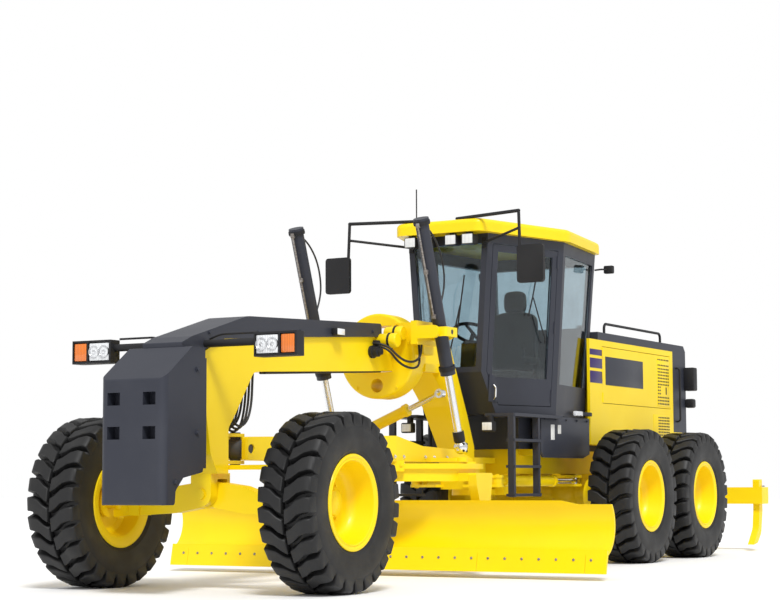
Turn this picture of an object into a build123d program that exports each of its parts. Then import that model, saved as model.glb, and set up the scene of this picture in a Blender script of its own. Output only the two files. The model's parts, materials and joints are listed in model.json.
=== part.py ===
from build123d import *
import os
from math import cos, hypot, pi, sin, sqrt

# Motor grader. +X is forward, +Y is the driver's left, +Z is up, in millimetres.
# The origin is on the ground, at the middle of the machine's length and width.

# Driving dimensions of the whole machine
WHEELBASE = 6495
FRONT_OVERHANG = 1000
REAR_OVERHANG = 3065
TRACK = 2060
TANDEM_SPREAD = 1525
TYRE_RADIUS = 650
TYRE_WIDTH = 445
RIM_RADIUS = 350
GAP = 0.3

LENGTH = FRONT_OVERHANG + WHEELBASE + REAR_OVERHANG
AXLE_X = LENGTH / 2 - FRONT_OVERHANG
TANDEM_X = AXLE_X - WHEELBASE
HALF_TRACK = TRACK / 2
HUB_Z = TYRE_RADIUS

# Hubs: every wheel turns on a round spindle
SPINDLE_R = 45
SPINDLE_ROOT_R = 52
SPINDLE_DEPTH = 20
HUB_R = 90

# Articulation hitch
HITCH_X = AXLE_X - 4200
HITCH_HEAD_Z = (725, 965)
HITCH_HEAD_R = 160
HITCH_PIN_R = 55
HITCH_EAR = 55

# Front frame
BEAM_HALF = 150
BEAM_FRONT_X = AXLE_X - 970
BEAM_FRONT_Z = 1941
BEAM_SLOPE = 0.0665
BEAM_REAR_X = AXLE_X - 3210
BEAM_UNDER_Z = 1785
LEG_FRONT_X = AXLE_X + 340
LEG_FOOT_Z = 862
LEG_TOP_Z = 1745

# Lift saddle round the beam
SADDLE_X = AXLE_X - 2580
SADDLE_THICK = 220
SADDLE_R = 370
SADDLE_Z = 1880
SADDLE_ARM_Z = (1960, 2160)

# Drawbar
BALL_X = AXLE_X - 300
BALL_Z = 1050
BALL_R = 85
BALL_PIN_R = 40
CROSS_PIN_R = 35
DRAWBAR_UNDER = 967
DECK_Z = (DRAWBAR_UNDER, 1000)
DRAWBAR_Y = (340, 400)

# Circle: a toothed web with a flange that runs in the drawbar's shoes
CIRCLE_X = AXLE_X - 2800
CIRCLE_R = 765
CIRCLE_WEB_R = 730
CIRCLE_INNER_R = 615
CIRCLE_Z = (800, 950)
FLANGE_Z = 905
CIRCLE_TEETH = 60
TOOTH_DEPTH = 18
SHOE_ANGLES = (30, 150, 210, 330)
SHOE_HALF = 60
SHOE_HOOK = 22
ARM_Y = (800, 880)
ARM_ROOT_Z = 870

# Blade
TIP_X = CIRCLE_X + 60
TIP_Z = 300
TIP_PIN_R = 35
TIP_TUBE_R = 60
BLADE_LENGTH = 4270
BLADE_TOP_Z = 640
BLADE_EDGE_Z = 55
BLADE_EDGE_X = AXLE_X - 2450
BLADE_THICK = 24
BLADE_CURVE = [
    (BLADE_EDGE_X, BLADE_EDGE_Z + 150),
    (BLADE_EDGE_X - 130, 350),
    (BLADE_EDGE_X - 60, BLADE_TOP_Z),
]
EDGE_SEAMS = (0, 975, 1950)
RAIL_X = BLADE_EDGE_X - 195
RAIL_HEIGHTS = (TIP_Z - 60, TIP_Z + 160)
RAIL_HEAD = (18, 17)
RAIL_WEB = 8
SLIDE_SHOE_Y = (560, 780)

# Side shift cylinder of the drawbar, from the drawbar's pin to the saddle's lug
SHIFT_X = AXLE_X - 2825
SHIFT_LOW = (SHIFT_X, -470, 1185)
SHIFT_HIGH = (SHIFT_X, 430, 1560)
SHIFT_BARREL_R = 48
SHIFT_ROD_R = 24
SHIFT_EYE = (40, 30)
SHIFT_ROOM = 105

# Lift cylinders, one each side
LIFT_Y = 620
LIFT_TOP = (AXLE_X - 2140, 3000)
LIFT_BALL = (AXLE_X - 2840, 1090)
LIFT_CAP_R = 60
LIFT_YOKE_Z = 2060
LIFT_BARREL_R = 58
LIFT_ROD_R = 32
LIFT_GLAND_Z = 1710
LIFT_STROKE_IN = 895
YOKE_INNER = LIFT_BARREL_R + 34
YOKE_WALL = 18
YOKE_PIN_R = 30
YOKE_PIN_REACH = 150
TRUNNION_R = 22

# Front axle, lean and steering
AXLE_HALF = 60
KINGPIN_Y = 850
KINGPIN_R = 24
LEAN_Y = 740
LEAN_Z = 600
LEAN_PIN_R = 28
AXLE_PIN_Z = 710
AXLE_PIN_R = 40
BRACKET_HALF = 38
KNUCKLE_Z = (LEAN_Z - 5, LEAN_Z + 145)
KNUCKLE_R = 44
LEAN_BAR = (AXLE_X - 20, LEAN_Y, 908)
LEAN_EYE_R = 30
LEAN_BAR_PIN_R = 14
STEER_ARM = (AXLE_X - 190, KINGPIN_Y, 728)
STEER_ARM_Z = (672, 697)
STEER_BALL_R = 22
STEER_STUD_R = 12
TIE_ROD_R = 18
TIE_HOUSING_R = 38

# Articulation cylinders
ARTIC_FRONT = (AXLE_X - 3950, 420)
ARTIC_REAR = (AXLE_X - 5660, 450)
ARTIC_Z = 800
ARTIC_BARREL_R = 50
ARTIC_ROD_R = 26
ARTIC_EYE = (48, 30)
ARTIC_PIN_R = 20
ARTIC_PLATE = 25

# Rear frame
RAIL_Y = (220, 360)
RAIL_Z = (870, 1100)
RAIL_REAR_X = AXLE_X - 8000

# Tandem cases
CASE_Y = (570, 745)
CASE_R = 170
CASE_RISE = 40

# Engine hood
HOOD_HALF = 600
HOOD_WALL = 30
HOOD_FRONT_X = AXLE_X - 5700
HOOD_REAR_X = AXLE_X - 8000
HOOD_Z = (1160, 2220)
HOOD_CAP = 80
ENCLOSURE_REAR_X = AXLE_X - 8400
HOOD_DOOR_X = (AXLE_X - 7920, AXLE_X - 6020)
HOOD_DOOR_Z = (1580, 2160)
DOOR_GAP = 6
LOUVRE_X = (150, 230)
HOOD_HINGES = (1640, 1870, 2100)
HOOD_KNUCKLE = (10, 4, 50)

# Cab: half outline at the floor and at the roof, from the front pillar back
CAB_FLOOR_Z = 1420
CAB_TOP_Z = 3080
ROOF_TOP_Z = 3200
CAB_WALL = 60
CAB_TAPER = 150 / 1100
CAB_FLOOR_OUTLINE = [(AXLE_X - 3810, 310), (AXLE_X - 4800, 630), (AXLE_X - 5800, 630 - 1000 * CAB_TAPER)]
CAB_TOP_OUTLINE = [(AXLE_X - 3810, 420), (AXLE_X - 4800, 740), (AXLE_X - 5900, 740 - 1100 * CAB_TAPER)]
CAB_SLOPE = (1800, 210)
CAB_DECK = 60
GLASS_THICK = 6
DOOR_THICK = 40
DOOR_Z = (1500, 2990)
DOOR_MARGINS = (70, 75)
DOOR_BORDER = 75
DOOR_GLASS_Z = (1760, 2920)
QUARTER_Z = (1720, 2960)
REAR_GLASS_Z = 2330
FRONT_GLASS_Z = (1850, 2990)
WINDOW_MARGIN = 70
CAB_HINGES = (1600, 2250, 2880)
CAB_KNUCKLE = (12, 5, 60)

# Rear tow hitch
TOW_X = AXLE_X - 8450
TOW_BORE_R = 22
TOW_EYE_R = 60

# Ripper
RIPPER_PIVOT = (AXLE_X - 8560, 850)
RIPPER_PIN_R = 35
RIPPER_BEAM_X = (AXLE_X - 9560, AXLE_X - 9330)
RIPPER_BEAM_Z = (530, 720)
RIPPER_HALF = 1150
RIPPER_LUG_X = ENCLOSURE_REAR_X - 45
RIPPER_LUG_Z = 1210
RIPPER_EYE_X = RIPPER_BEAM_X[1] + 70
RIPPER_EYE_Z = 650
RIPPER_EAR = (32, 62)
SHANK_WIDTH = 75
SHANK_DEPTH = 110
SHANK_PLACES = (-1060, 0, 1060)


# Shapes that many pieces are made from

def block(x, y, z):
    """A box from its three low-high pairs."""
    size = Box(x[1] - x[0], y[1] - y[0], z[1] - z[0])
    return Pos((x[0] + x[1]) / 2, (y[0] + y[1]) / 2, (z[0] + z[1]) / 2) * size


def outline(rows):
    """A closed face from rows of (across, up) or (across, up, corner radius)."""
    places = [row[:2] for row in rows]
    radii = [row[2] if len(row) == 3 else 0 for row in rows]
    if any(radii):
        return make_face(FilletPolyline(*places, radius=radii, close=True))
    return make_face(Polyline(*places, close=True))


def side_plate(rows, y):
    """An outline in the XZ plane, extruded between two Y places."""
    return Pos(0, y[0], 0) * extrude(Plane.XZ * outline(rows), amount=-(y[1] - y[0]))


def deck_plate(rows, z):
    """An outline seen from above, extruded between two heights."""
    return Pos(0, 0, z[0]) * extrude(outline(rows), amount=z[1] - z[0])


def cross_plate(rows, x):
    """An outline in the YZ plane, extruded between two X places."""
    return Pos(x[0], 0, 0) * extrude(Plane.YZ * outline(rows), amount=x[1] - x[0])


def rod_between(start, end, radius):
    """A round bar from one point to another."""
    line = Vector(*end) - Vector(*start)
    low = (Align.CENTER, Align.CENTER, Align.MIN)
    return Plane(origin=tuple(start), z_dir=line) * Cylinder(radius, line.length, align=low)


def pin_y(x, z, y, radius):
    """A round bar along Y."""
    return rod_between((x, y[0], z), (x, y[1], z), radius)


def pin_x(y, z, x, radius):
    """A round bar along X."""
    return rod_between((x[0], y, z), (x[1], y, z), radius)


def pin_z(x, y, z, radius):
    """A round bar along Z."""
    return rod_between((x, y, z[0]), (x, y, z[1]), radius)


def right(shape):
    """The right-hand copy of a left-hand piece."""
    return mirror(shape, Plane.XZ)


def both_sides(shape):
    """The shape and its mirror image on the other side."""
    return shape + right(shape)


def along(start, end, distance):
    """The point at a distance from start on the way to end."""
    line = (Vector(*end) - Vector(*start)).normalized()
    return Vector(*start) + line * distance


def hydraulic_barrel(closed, toward, span, radius, rod_radius, gland=40, cap=15, wall=14):
    """Barrel along a line, closed at its first end, with a gland round the rod at the other."""
    barrel = rod_between(along(closed, toward, span[0]), along(closed, toward, span[1]), radius)
    barrel += rod_between(along(closed, toward, span[1] - gland), along(closed, toward, span[1]), radius + 8)
    barrel -= rod_between(along(closed, toward, span[0] + cap), along(closed, toward, span[1] - gland), radius - wall)
    bore_end = along(closed, toward, span[1] + 1)
    return barrel - rod_between(along(closed, toward, span[1] - gland - 1), bore_end, rod_radius + GAP)


def hydraulic_rod(closed, toward, span, radius, piston_radius, piston=40):
    """Rod along the same line, with its piston inside the barrel."""
    rod = rod_between(along(closed, toward, span[0]), along(closed, toward, span[1]), radius)
    return rod + rod_between(along(closed, toward, span[0]), along(closed, toward, span[0] + piston), piston_radius)


def hinge_line(place, heights, knuckle):
    """Knuckles up a hinge line: the post's with its pins, the leaf's, and the room that each needs."""
    radius, pin_radius, length = knuckle
    parts = {"post": Part(), "leaf": Part(), "post_room": Part(), "leaf_room": Part(), "bore": Part()}
    for z in heights:
        parts["post"] += rod_between(place(z - length), place(z), radius)
        parts["post"] += rod_between(place(z - length), place(z + length), pin_radius)
        parts["leaf"] += rod_between(place(z + GAP), place(z + length), radius)
        parts["post_room"] += rod_between(place(z), place(z + length + GAP), radius + GAP)
        parts["leaf_room"] += rod_between(place(z - length - GAP), place(z + GAP), radius + GAP)
        parts["bore"] += rod_between(place(z), place(z + length + 1), pin_radius + GAP)
    return parts


def hang_on(post, parts):
    """The fixed side of a hinge line."""
    return post - parts["post_room"] + parts["post"]


def hung_from(leaf, parts):
    """The moving side of a hinge line."""
    return leaf - parts["leaf_room"] + parts["leaf"] - parts["bore"]


# Wheels

def wheel(x, side):
    """A rim with its deep dish and the tyre on it, turning on a spindle."""
    half = TYRE_WIDTH / 2
    bead = RIM_RADIUS - 33
    flange = 198
    # Rows: radius, place across the wheel, corner radius
    rim = [
        (0, -35), (205, -35, 20), (235, -60, 12), (262, -172, 8), (300, -flange, 6), (RIM_RADIUS, -flange, 4),
        (RIM_RADIUS, -182), (bead, -172, 6), (bead - 12, 0), (bead, 172, 6), (RIM_RADIUS, 182),
        (RIM_RADIUS, flange, 4), (300, flange, 6), (286, 60, 25), (250, -10, 15), (HUB_R, -10, 8), (HUB_R, 42, 6),
        (60, 55, 6), (0, 55),
    ]
    shoulder = TYRE_RADIUS - 12
    tyre = [
        (bead + GAP, -170), (RIM_RADIUS + 8, -180), (470, -half, 70), (585, -half + 3, 40), (shoulder, -half + 28, 12),
        (TYRE_RADIUS, -half + 62), (TYRE_RADIUS, half - 62), (shoulder, half - 28, 12), (585, half - 3, 40),
        (470, half, 70), (RIM_RADIUS + 8, 180), (bead + GAP, 170), (bead + 18, 140), (560, 190, 30), (590, 150, 15),
        (590, -150, 15), (560, -190, 30), (bead + 18, -140),
    ]
    rim_solid = revolve(outline(rim), axis=Axis.Y) - pin_y(0, 0, (-60, SPINDLE_DEPTH), SPINDLE_R + GAP)
    tyre_solid = revolve(outline(tyre), axis=Axis.Y)
    pair = Compound(children=[rim_solid, tyre_solid])
    if side < 0:
        pair = right(pair)
    return Pos(x, side * HALF_TRACK, HUB_Z) * pair


def spindle(x, y_root):
    """Left spindle with its root and the fixed plate beside the wheel."""
    stub = pin_y(x, HUB_Z, (y_root - 20, HALF_TRACK + SPINDLE_DEPTH - GAP), SPINDLE_R)
    stub += pin_y(x, HUB_Z, (y_root, HALF_TRACK - 45), SPINDLE_ROOT_R)
    return stub + pin_y(x, HUB_Z, (HALF_TRACK - 72, HALF_TRACK - 50), 115)


# Front axle, lean and steering

def front_axle():
    """Arched beam on its centre pin, with a fork at each end for the lean bracket."""
    end_y = LEAN_Y - 75
    # Rows: place across, height, corner radius
    beam = [
        (-end_y, LEAN_Z - 50), (-300, LEAN_Z - 30, 200), (0, LEAN_Z + 20, 300), (300, LEAN_Z - 30, 200),
        (end_y, LEAN_Z - 50), (end_y, LEAN_Z + 45), (300, LEAN_Z + 170, 200), (0, LEAN_Z + 210, 300),
        (-300, LEAN_Z + 170, 200), (-end_y, LEAN_Z + 45),
    ]
    axle = cross_plate(beam, (AXLE_X - AXLE_HALF, AXLE_X + AXLE_HALF))
    axle += pin_x(0, AXLE_PIN_Z, (AXLE_X - AXLE_HALF, AXLE_X + AXLE_HALF), 105)
    axle -= pin_x(0, AXLE_PIN_Z, (AXLE_X - 100, AXLE_X + 100), AXLE_PIN_R + GAP)
    cheek_x = (BRACKET_HALF + 4, BRACKET_HALF + 42)
    for x in ((AXLE_X + cheek_x[0], AXLE_X + cheek_x[1]), (AXLE_X - cheek_x[1], AXLE_X - cheek_x[0])):
        cheek = block(x, (end_y - 45, LEAN_Y), (LEAN_Z - 50, LEAN_Z + 45))
        cheek += pin_x(LEAN_Y, LEAN_Z, x, 50)
        axle += both_sides(cheek)
    pin_x_reach = (AXLE_X - cheek_x[1] - 10, AXLE_X + cheek_x[1] + 10)
    return axle + both_sides(pin_x(LEAN_Y, LEAN_Z, pin_x_reach, LEAN_PIN_R))


def lean_bracket():
    """Left bracket: hangs on the axle's lean pin, holds the kingpin and reaches up to the lean bar."""
    outer = KINGPIN_Y + 40
    # Rows: place across, height, corner radius
    arm = [
        (LEAN_Y - 42, LEAN_Z - 45, 25), (outer, LEAN_Z - 65, 15), (outer, LEAN_Z + 200, 15),
        (LEAN_Y + 75, LEAN_Z + 215, 20), (LEAN_Y + LEAN_EYE_R, LEAN_Z + 258, 20), (LEAN_Y + LEAN_EYE_R, LEAN_BAR[2]),
        (LEAN_Y - LEAN_EYE_R, LEAN_BAR[2]), (LEAN_Y - 42, LEAN_Z + 40, 30),
    ]
    bracket = cross_plate(arm, (AXLE_X - BRACKET_HALF, AXLE_X + BRACKET_HALF))
    bracket += pin_x(LEAN_Y, LEAN_BAR[2], (AXLE_X, AXLE_X + BRACKET_HALF), LEAN_EYE_R)
    bar_room_z = LEAN_BAR[2] - LEAN_EYE_R - 10
    bracket -= block((AXLE_X - 60, AXLE_X), (LEAN_Y - 60, LEAN_Y + 60), (bar_room_z, LEAN_BAR[2] + 60))
    bracket -= block((AXLE_X - 90, AXLE_X + 90), (KINGPIN_Y - KNUCKLE_R - 4, KINGPIN_Y + 60), KNUCKLE_Z)
    arm_room_z = (STEER_ARM_Z[0] - 6, STEER_ARM_Z[1] + 6)
    bracket -= block((AXLE_X - 100, AXLE_X - 4), (LEAN_Y - 50, KINGPIN_Y - 40), arm_room_z)
    bracket -= pin_x(LEAN_Y, LEAN_Z, (AXLE_X - 60, AXLE_X + 60), LEAN_PIN_R + GAP)
    bracket += pin_z(AXLE_X, KINGPIN_Y, (KNUCKLE_Z[0] - 70, KNUCKLE_Z[1] + 65), KINGPIN_R)
    return bracket + pin_x(LEAN_Y, LEAN_BAR[2], (AXLE_X - 42, AXLE_X + 10), LEAN_BAR_PIN_R)


def steering_knuckle():
    """Left knuckle: kingpin barrel, spindle for the wheel and arm with the tie rod's stud."""
    x, y, z = STEER_ARM
    knuckle = pin_z(AXLE_X, KINGPIN_Y, (KNUCKLE_Z[0] + GAP, KNUCKLE_Z[1] - GAP), KNUCKLE_R)
    knuckle += spindle(AXLE_X, KINGPIN_Y + 40)
    knuckle += block((x, AXLE_X), (y - 20, y + 20), STEER_ARM_Z)
    knuckle += pin_z(x, y, STEER_ARM_Z, 28)
    knuckle += pin_z(x, y, (STEER_ARM_Z[0], z + STEER_BALL_R + 2), STEER_STUD_R)
    return knuckle - pin_z(AXLE_X, KINGPIN_Y, (LEAN_Z - 20, LEAN_Z + 160), KINGPIN_R + GAP)


def lean_bar():
    """Flat bar across the machine that leans both brackets together."""
    x, y, z = LEAN_BAR
    bar = block((x - 17, x + 17), (-y, y), (z - 18, z + 18))
    bar += both_sides(pin_x(y, z, (AXLE_X - BRACKET_HALF, AXLE_X - GAP), LEAN_EYE_R))
    return bar - both_sides(pin_x(y, z, (AXLE_X - 60, AXLE_X + 20), LEAN_BAR_PIN_R + GAP))


def tie_rod_end():
    """Left ball of the tie rod, turning on the steering arm's stud."""
    ball = Pos(*STEER_ARM) * Sphere(STEER_BALL_R)
    x, y, z = STEER_ARM
    return ball - pin_z(x, y, (z - 40, z + 40), STEER_STUD_R + GAP)


def tie_rod():
    """Rod across the machine between the two steering arms."""
    x, y, z = STEER_ARM
    rod = pin_y(x, z, (-y, y), TIE_ROD_R)
    rod += both_sides(pin_z(x, y, (z - 14, z + 14), TIE_HOUSING_R))
    rod -= Pos(x, y, z) * Sphere(STEER_BALL_R + GAP)
    rod -= pin_z(x, y, (z - 30, z + 30), STEER_STUD_R + 7.5)
    return rod - pin_z(x, -y, (z - 30, z + 30), STEER_STUD_R + 15.5)


# Front frame

def beam_top(x):
    """Height of the beam's upper side at a place along the machine."""
    return BEAM_FRONT_Z + (BEAM_FRONT_X - x) * BEAM_SLOPE


def front_frame():
    """Leg, box beam, gooseneck and hitch head as one welded frame."""
    # Rows: place along, height, corner radius
    profile = [
        (AXLE_X + 150, LEG_FOOT_Z), (AXLE_X + 240, 1000, 80), (LEG_FRONT_X, 1500), (LEG_FRONT_X, LEG_TOP_Z),
        (AXLE_X + 100, 1860), (BEAM_FRONT_X, BEAM_FRONT_Z), (BEAM_REAR_X, beam_top(BEAM_REAR_X), 100),
        (AXLE_X - 3400, 2085, 90), (AXLE_X - 3550, 2030, 90), (AXLE_X - 3880, CAB_FLOOR_Z, 300),
        (HITCH_X + 178, 1120, 90), (HITCH_X + 178, HITCH_HEAD_Z[0]), (HITCH_X + 270, HITCH_HEAD_Z[0]),
        (AXLE_X - 3870, 1100, 90), (AXLE_X - 3570, 1478, 200), (BEAM_REAR_X, BEAM_UNDER_Z, 70),
        (AXLE_X - 330, 1636, 90), (AXLE_X - 80, 1306, 60), (AXLE_X + 10, 1200, 60), (AXLE_X + 10, LEG_FOOT_Z),
    ]
    frame = side_plate(profile, (-BEAM_HALF, BEAM_HALF))
    foot_x = (AXLE_X - AXLE_HALF - 40, AXLE_X + 150)
    for x in ((AXLE_X + AXLE_HALF + 2, foot_x[1]), (foot_x[0], AXLE_X - AXLE_HALF - 2)):
        frame += block(x, (-90, 90), (AXLE_PIN_Z, LEG_FOOT_Z)) + pin_x(0, AXLE_PIN_Z, x, 90)
    frame += block(foot_x, (-90, 90), (AXLE_PIN_Z + 112, LEG_FOOT_Z + 4))
    frame += pin_x(0, AXLE_PIN_Z, (foot_x[0] + 10, foot_x[1] + 20), AXLE_PIN_R)
    frame += hitch_head()
    for z in ((BALL_Z - 115, BALL_Z - 90), (BALL_Z + 90, BALL_Z + 115)):
        frame += block((BALL_X, AXLE_X + 60), (-70, 70), z) + pin_z(BALL_X, 0, z, 70)
    return frame - pin_z(BALL_X, 0, (BALL_Z - 200, BALL_Z + 200), BALL_PIN_R + GAP)


def hitch_head():
    """Solid head between the rear frame's ears, with the lugs of the articulation cylinders."""
    head = pin_z(HITCH_X, 0, HITCH_HEAD_Z, HITCH_HEAD_R)
    head += block((HITCH_X, HITCH_X + 260), (-HITCH_HEAD_R, HITCH_HEAD_R), HITCH_HEAD_Z)
    x, y = ARTIC_FRONT
    wing = [(HITCH_X + 120, 100), (x - 60, y), (x + 60, y), (HITCH_X + 400, 140)]
    inner = ARTIC_EYE[1] + GAP
    for z in ((ARTIC_Z + inner, ARTIC_Z + inner + ARTIC_PLATE), (ARTIC_Z - inner - ARTIC_PLATE, ARTIC_Z - inner)):
        head += both_sides(deck_plate(wing, z) + pin_z(x, y, z, 60))
    pin_reach = inner + ARTIC_PLATE + 8
    head += both_sides(pin_z(x, y, (ARTIC_Z - pin_reach, ARTIC_Z + pin_reach), ARTIC_PIN_R))
    return head - pin_z(HITCH_X, 0, (HITCH_HEAD_Z[0] - 50, HITCH_HEAD_Z[1] + 50), HITCH_PIN_R + GAP)


def counterweight():
    """Cast front weight with rounded corners and four lifting pockets."""
    front = AXLE_X + FRONT_OVERHANG
    # Rows: place along, height, corner radius
    profile = [
        (front, 640, 25), (front, 1520, 30), (AXLE_X + 660, 1765, 20), (AXLE_X + 500, 1765), (AXLE_X + 500, 1035),
        (AXLE_X + 520, 870, 30), (AXLE_X + 760, 830, 30), (AXLE_X + 850, 740, 30), (front - 140, 640, 25),
    ]
    weight = side_plate(profile, (-280, 280))
    plan = [
        (AXLE_X + 400, -280), (front, -280, 60), (front, 280, 60), (AXLE_X + 400, 280),
    ]
    weight = weight & deck_plate(plan, (600, 1800))
    for z in ((1340, 1430), (1100, 1190)):
        weight -= both_sides(block((front - 90, front + 10), (100, 210), z))
    return weight + block((LEG_FRONT_X + GAP, AXLE_X + 520), (-180, 180), (900, 1700))


def frame_cover():
    """Dark cover over the top of the beam, with its slanted nose."""
    half = 175
    rear = AXLE_X - 2250
    top = [
        (AXLE_X + 640, 1767), (AXLE_X + 640, 1800, 12), (AXLE_X + 520, 1850, 60), (AXLE_X - 200, 2050, 300),
        (rear, 2138), (rear, beam_top(rear) + GAP), (BEAM_FRONT_X, BEAM_FRONT_Z + GAP),
        (AXLE_X + 100, 1860 + GAP), (LEG_FRONT_X + 5, 1767),
    ]
    cover = side_plate(top, (-half, half))
    upper = cover.edges().filter_by(Axis.Y).group_by(Axis.Z)[-1]
    return chamfer(upper, 20)


def headlights():
    """Lamp housings on their arms, a pair of lenses each side of the cover."""
    arm = pin_y(AXLE_X + 350, 1805, (175 + GAP, 660), 28)
    plan = [
        (AXLE_X + 290, 640, 25), (AXLE_X + 420, 640, 8), (AXLE_X + 420, 1005, 8), (AXLE_X + 290, 1005, 40),
    ]
    housing = deck_plate(plan, (1690, 1865))
    for lens_y in ((655, 850), (865, 990)):
        housing -= block((AXLE_X + 400, AXLE_X + 430), lens_y, (1705, 1850))
    return both_sides(arm + housing)


# Lift saddle and cylinders

def lift_axis_x(z):
    """Where the leaning lift cylinder's centre line is at a height."""
    share = (z - LIFT_BALL[1]) / (LIFT_TOP[1] - LIFT_BALL[1])
    return LIFT_BALL[0] + share * (LIFT_TOP[0] - LIFT_BALL[0])


def lift_saddle():
    """Thick ring around the beam, with box arms out to the lift yokes and the side shift's lug."""
    x0 = SADDLE_X - SADDLE_THICK / 2
    x1 = SADDLE_X + SADDLE_THICK / 2
    ring = pin_x(0, SADDLE_Z, (x0, x1), SADDLE_R)
    ring = fillet(ring.edges().filter_by(GeomType.CIRCLE), 22)
    ring -= block((x0 - 10, x1 + 10), (-BEAM_HALF - GAP, BEAM_HALF + GAP), (1740, 2140))
    ring -= pin_x(0, 1625, (x0 - 10, x1 + 10), 60)
    yoke_x = lift_axis_x(LIFT_YOKE_Z)
    arm = block((x0, x1), (BEAM_HALF + 60, LIFT_Y - 150), SADDLE_ARM_Z)
    arm += block((x0 + 20, x1 - 20), (BEAM_HALF + 60, LIFT_Y - 170), (1880, SADDLE_ARM_Z[0] + 5))
    arm += block((yoke_x - YOKE_PIN_REACH, yoke_x + YOKE_PIN_REACH), (LIFT_Y - 210, LIFT_Y - 150), SADDLE_ARM_Z)
    for x in ((yoke_x - YOKE_PIN_REACH, yoke_x - 112), (yoke_x + 112, yoke_x + YOKE_PIN_REACH)):
        arm += block(x, (LIFT_Y - 170, LIFT_Y), (LIFT_YOKE_Z - 55, LIFT_YOKE_Z + 55))
        arm += pin_x(LIFT_Y, LIFT_YOKE_Z, x, 55)
    saddle = ring + both_sides(arm)
    saddle -= both_sides(pin_x(LIFT_Y, LIFT_YOKE_Z, (yoke_x - 200, yoke_x + 200), YOKE_PIN_R + GAP))
    return saddle + shift_lug(x0)


def shift_lug(ring_rear):
    """Hanger behind the ring, with room in front of it for the side shift's eye as the drawbar swings."""
    x, y, z = SHIFT_HIGH
    # Rows: place across, height, corner radius
    hanger = [
        (y - 130, z + 260, 20), (y - 40, z + 260, 20), (y + 45, z + 40, 25), (y + 45, z - 25, 25),
        (y - 45, z - 25, 25), (y - 45, z + 40, 25), (y - 130, z + 180, 20),
    ]
    plate_x = (x - SHIFT_ROOM - 30, x - SHIFT_ROOM)
    lug = cross_plate(hanger, plate_x)
    return lug + block((plate_x[0], ring_rear + 20), (y - 130, y - 60), (z + 185, z + 255))


def lift_yoke():
    """Left ring frame that swings on the saddle and holds the barrel's trunnions."""
    x = lift_axis_x(LIFT_YOKE_Z)
    outer = YOKE_INNER + YOKE_WALL
    plan = [(x - outer, LIFT_Y - outer, 25), (x + outer, LIFT_Y - outer, 25),
            (x + outer, LIFT_Y + outer, 25), (x - outer, LIFT_Y + outer, 25)]
    yoke = deck_plate(plan, (LIFT_YOKE_Z - 40, LIFT_YOKE_Z + 40))
    yoke -= block((x - YOKE_INNER, x + YOKE_INNER), (LIFT_Y - YOKE_INNER, LIFT_Y + YOKE_INNER),
                  (LIFT_YOKE_Z - 60, LIFT_YOKE_Z + 60))
    yoke += pin_x(LIFT_Y, LIFT_YOKE_Z, (x - YOKE_PIN_REACH, x - YOKE_INNER), YOKE_PIN_R)
    yoke += pin_x(LIFT_Y, LIFT_YOKE_Z, (x + YOKE_INNER, x + YOKE_PIN_REACH), YOKE_PIN_R)
    return yoke - pin_y(x, LIFT_YOKE_Z, (LIFT_Y - 150, LIFT_Y + 150), TRUNNION_R + GAP)


def lift_line():
    """Top end, ball end, the length between them and the gland's distance from the top."""
    top = (LIFT_TOP[0], LIFT_Y, LIFT_TOP[1])
    ball = (LIFT_BALL[0], LIFT_Y, LIFT_BALL[1])
    length = (Vector(*top) - Vector(*ball)).length
    gland = length * (LIFT_TOP[1] - LIFT_GLAND_Z) / (LIFT_TOP[1] - LIFT_BALL[1])
    return top, ball, length, gland


def lift_cylinder():
    """Left barrel with its trunnions, cap and gland."""
    top, ball, length, gland = lift_line()
    barrel = hydraulic_barrel(top, ball, (0, gland), LIFT_BARREL_R, LIFT_ROD_R, gland=60, cap=30)
    barrel += rod_between(top, along(top, ball, 28), LIFT_BARREL_R + 8)
    x = lift_axis_x(LIFT_YOKE_Z)
    for side in (-1, 1):
        inner = LIFT_Y + side * (LIFT_BARREL_R - 10)
        outer = LIFT_Y + side * (YOKE_INNER + YOKE_WALL - 2)
        barrel += pin_y(x, LIFT_YOKE_Z, (inner, outer), TRUNNION_R)
    return barrel


def lift_rod():
    """Left rod with its piston inside and its ball cap over the drawbar's seat."""
    top, ball, length, gland = lift_line()
    rod = hydraulic_rod(top, ball, (gland - LIFT_STROKE_IN, length - 40), LIFT_ROD_R, LIFT_BARREL_R - 14 - GAP)
    sleeve = rod_between(along(top, ball, length - 150), along(top, ball, length - 40), LIFT_ROD_R + 12)
    return rod + sleeve + Pos(*ball) * Sphere(LIFT_CAP_R)


# Drawbar and circle

def drawbar_ball():
    """Ball joint of the drawbar: upright pin, ball and cross pin."""
    ball = Pos(BALL_X, 0, BALL_Z) * Sphere(BALL_R)
    ball += pin_z(BALL_X, 0, (BALL_Z - 125, BALL_Z + 125), BALL_PIN_R)
    return ball + pin_y(BALL_X, BALL_Z, (-140, 140), CROSS_PIN_R)


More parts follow.
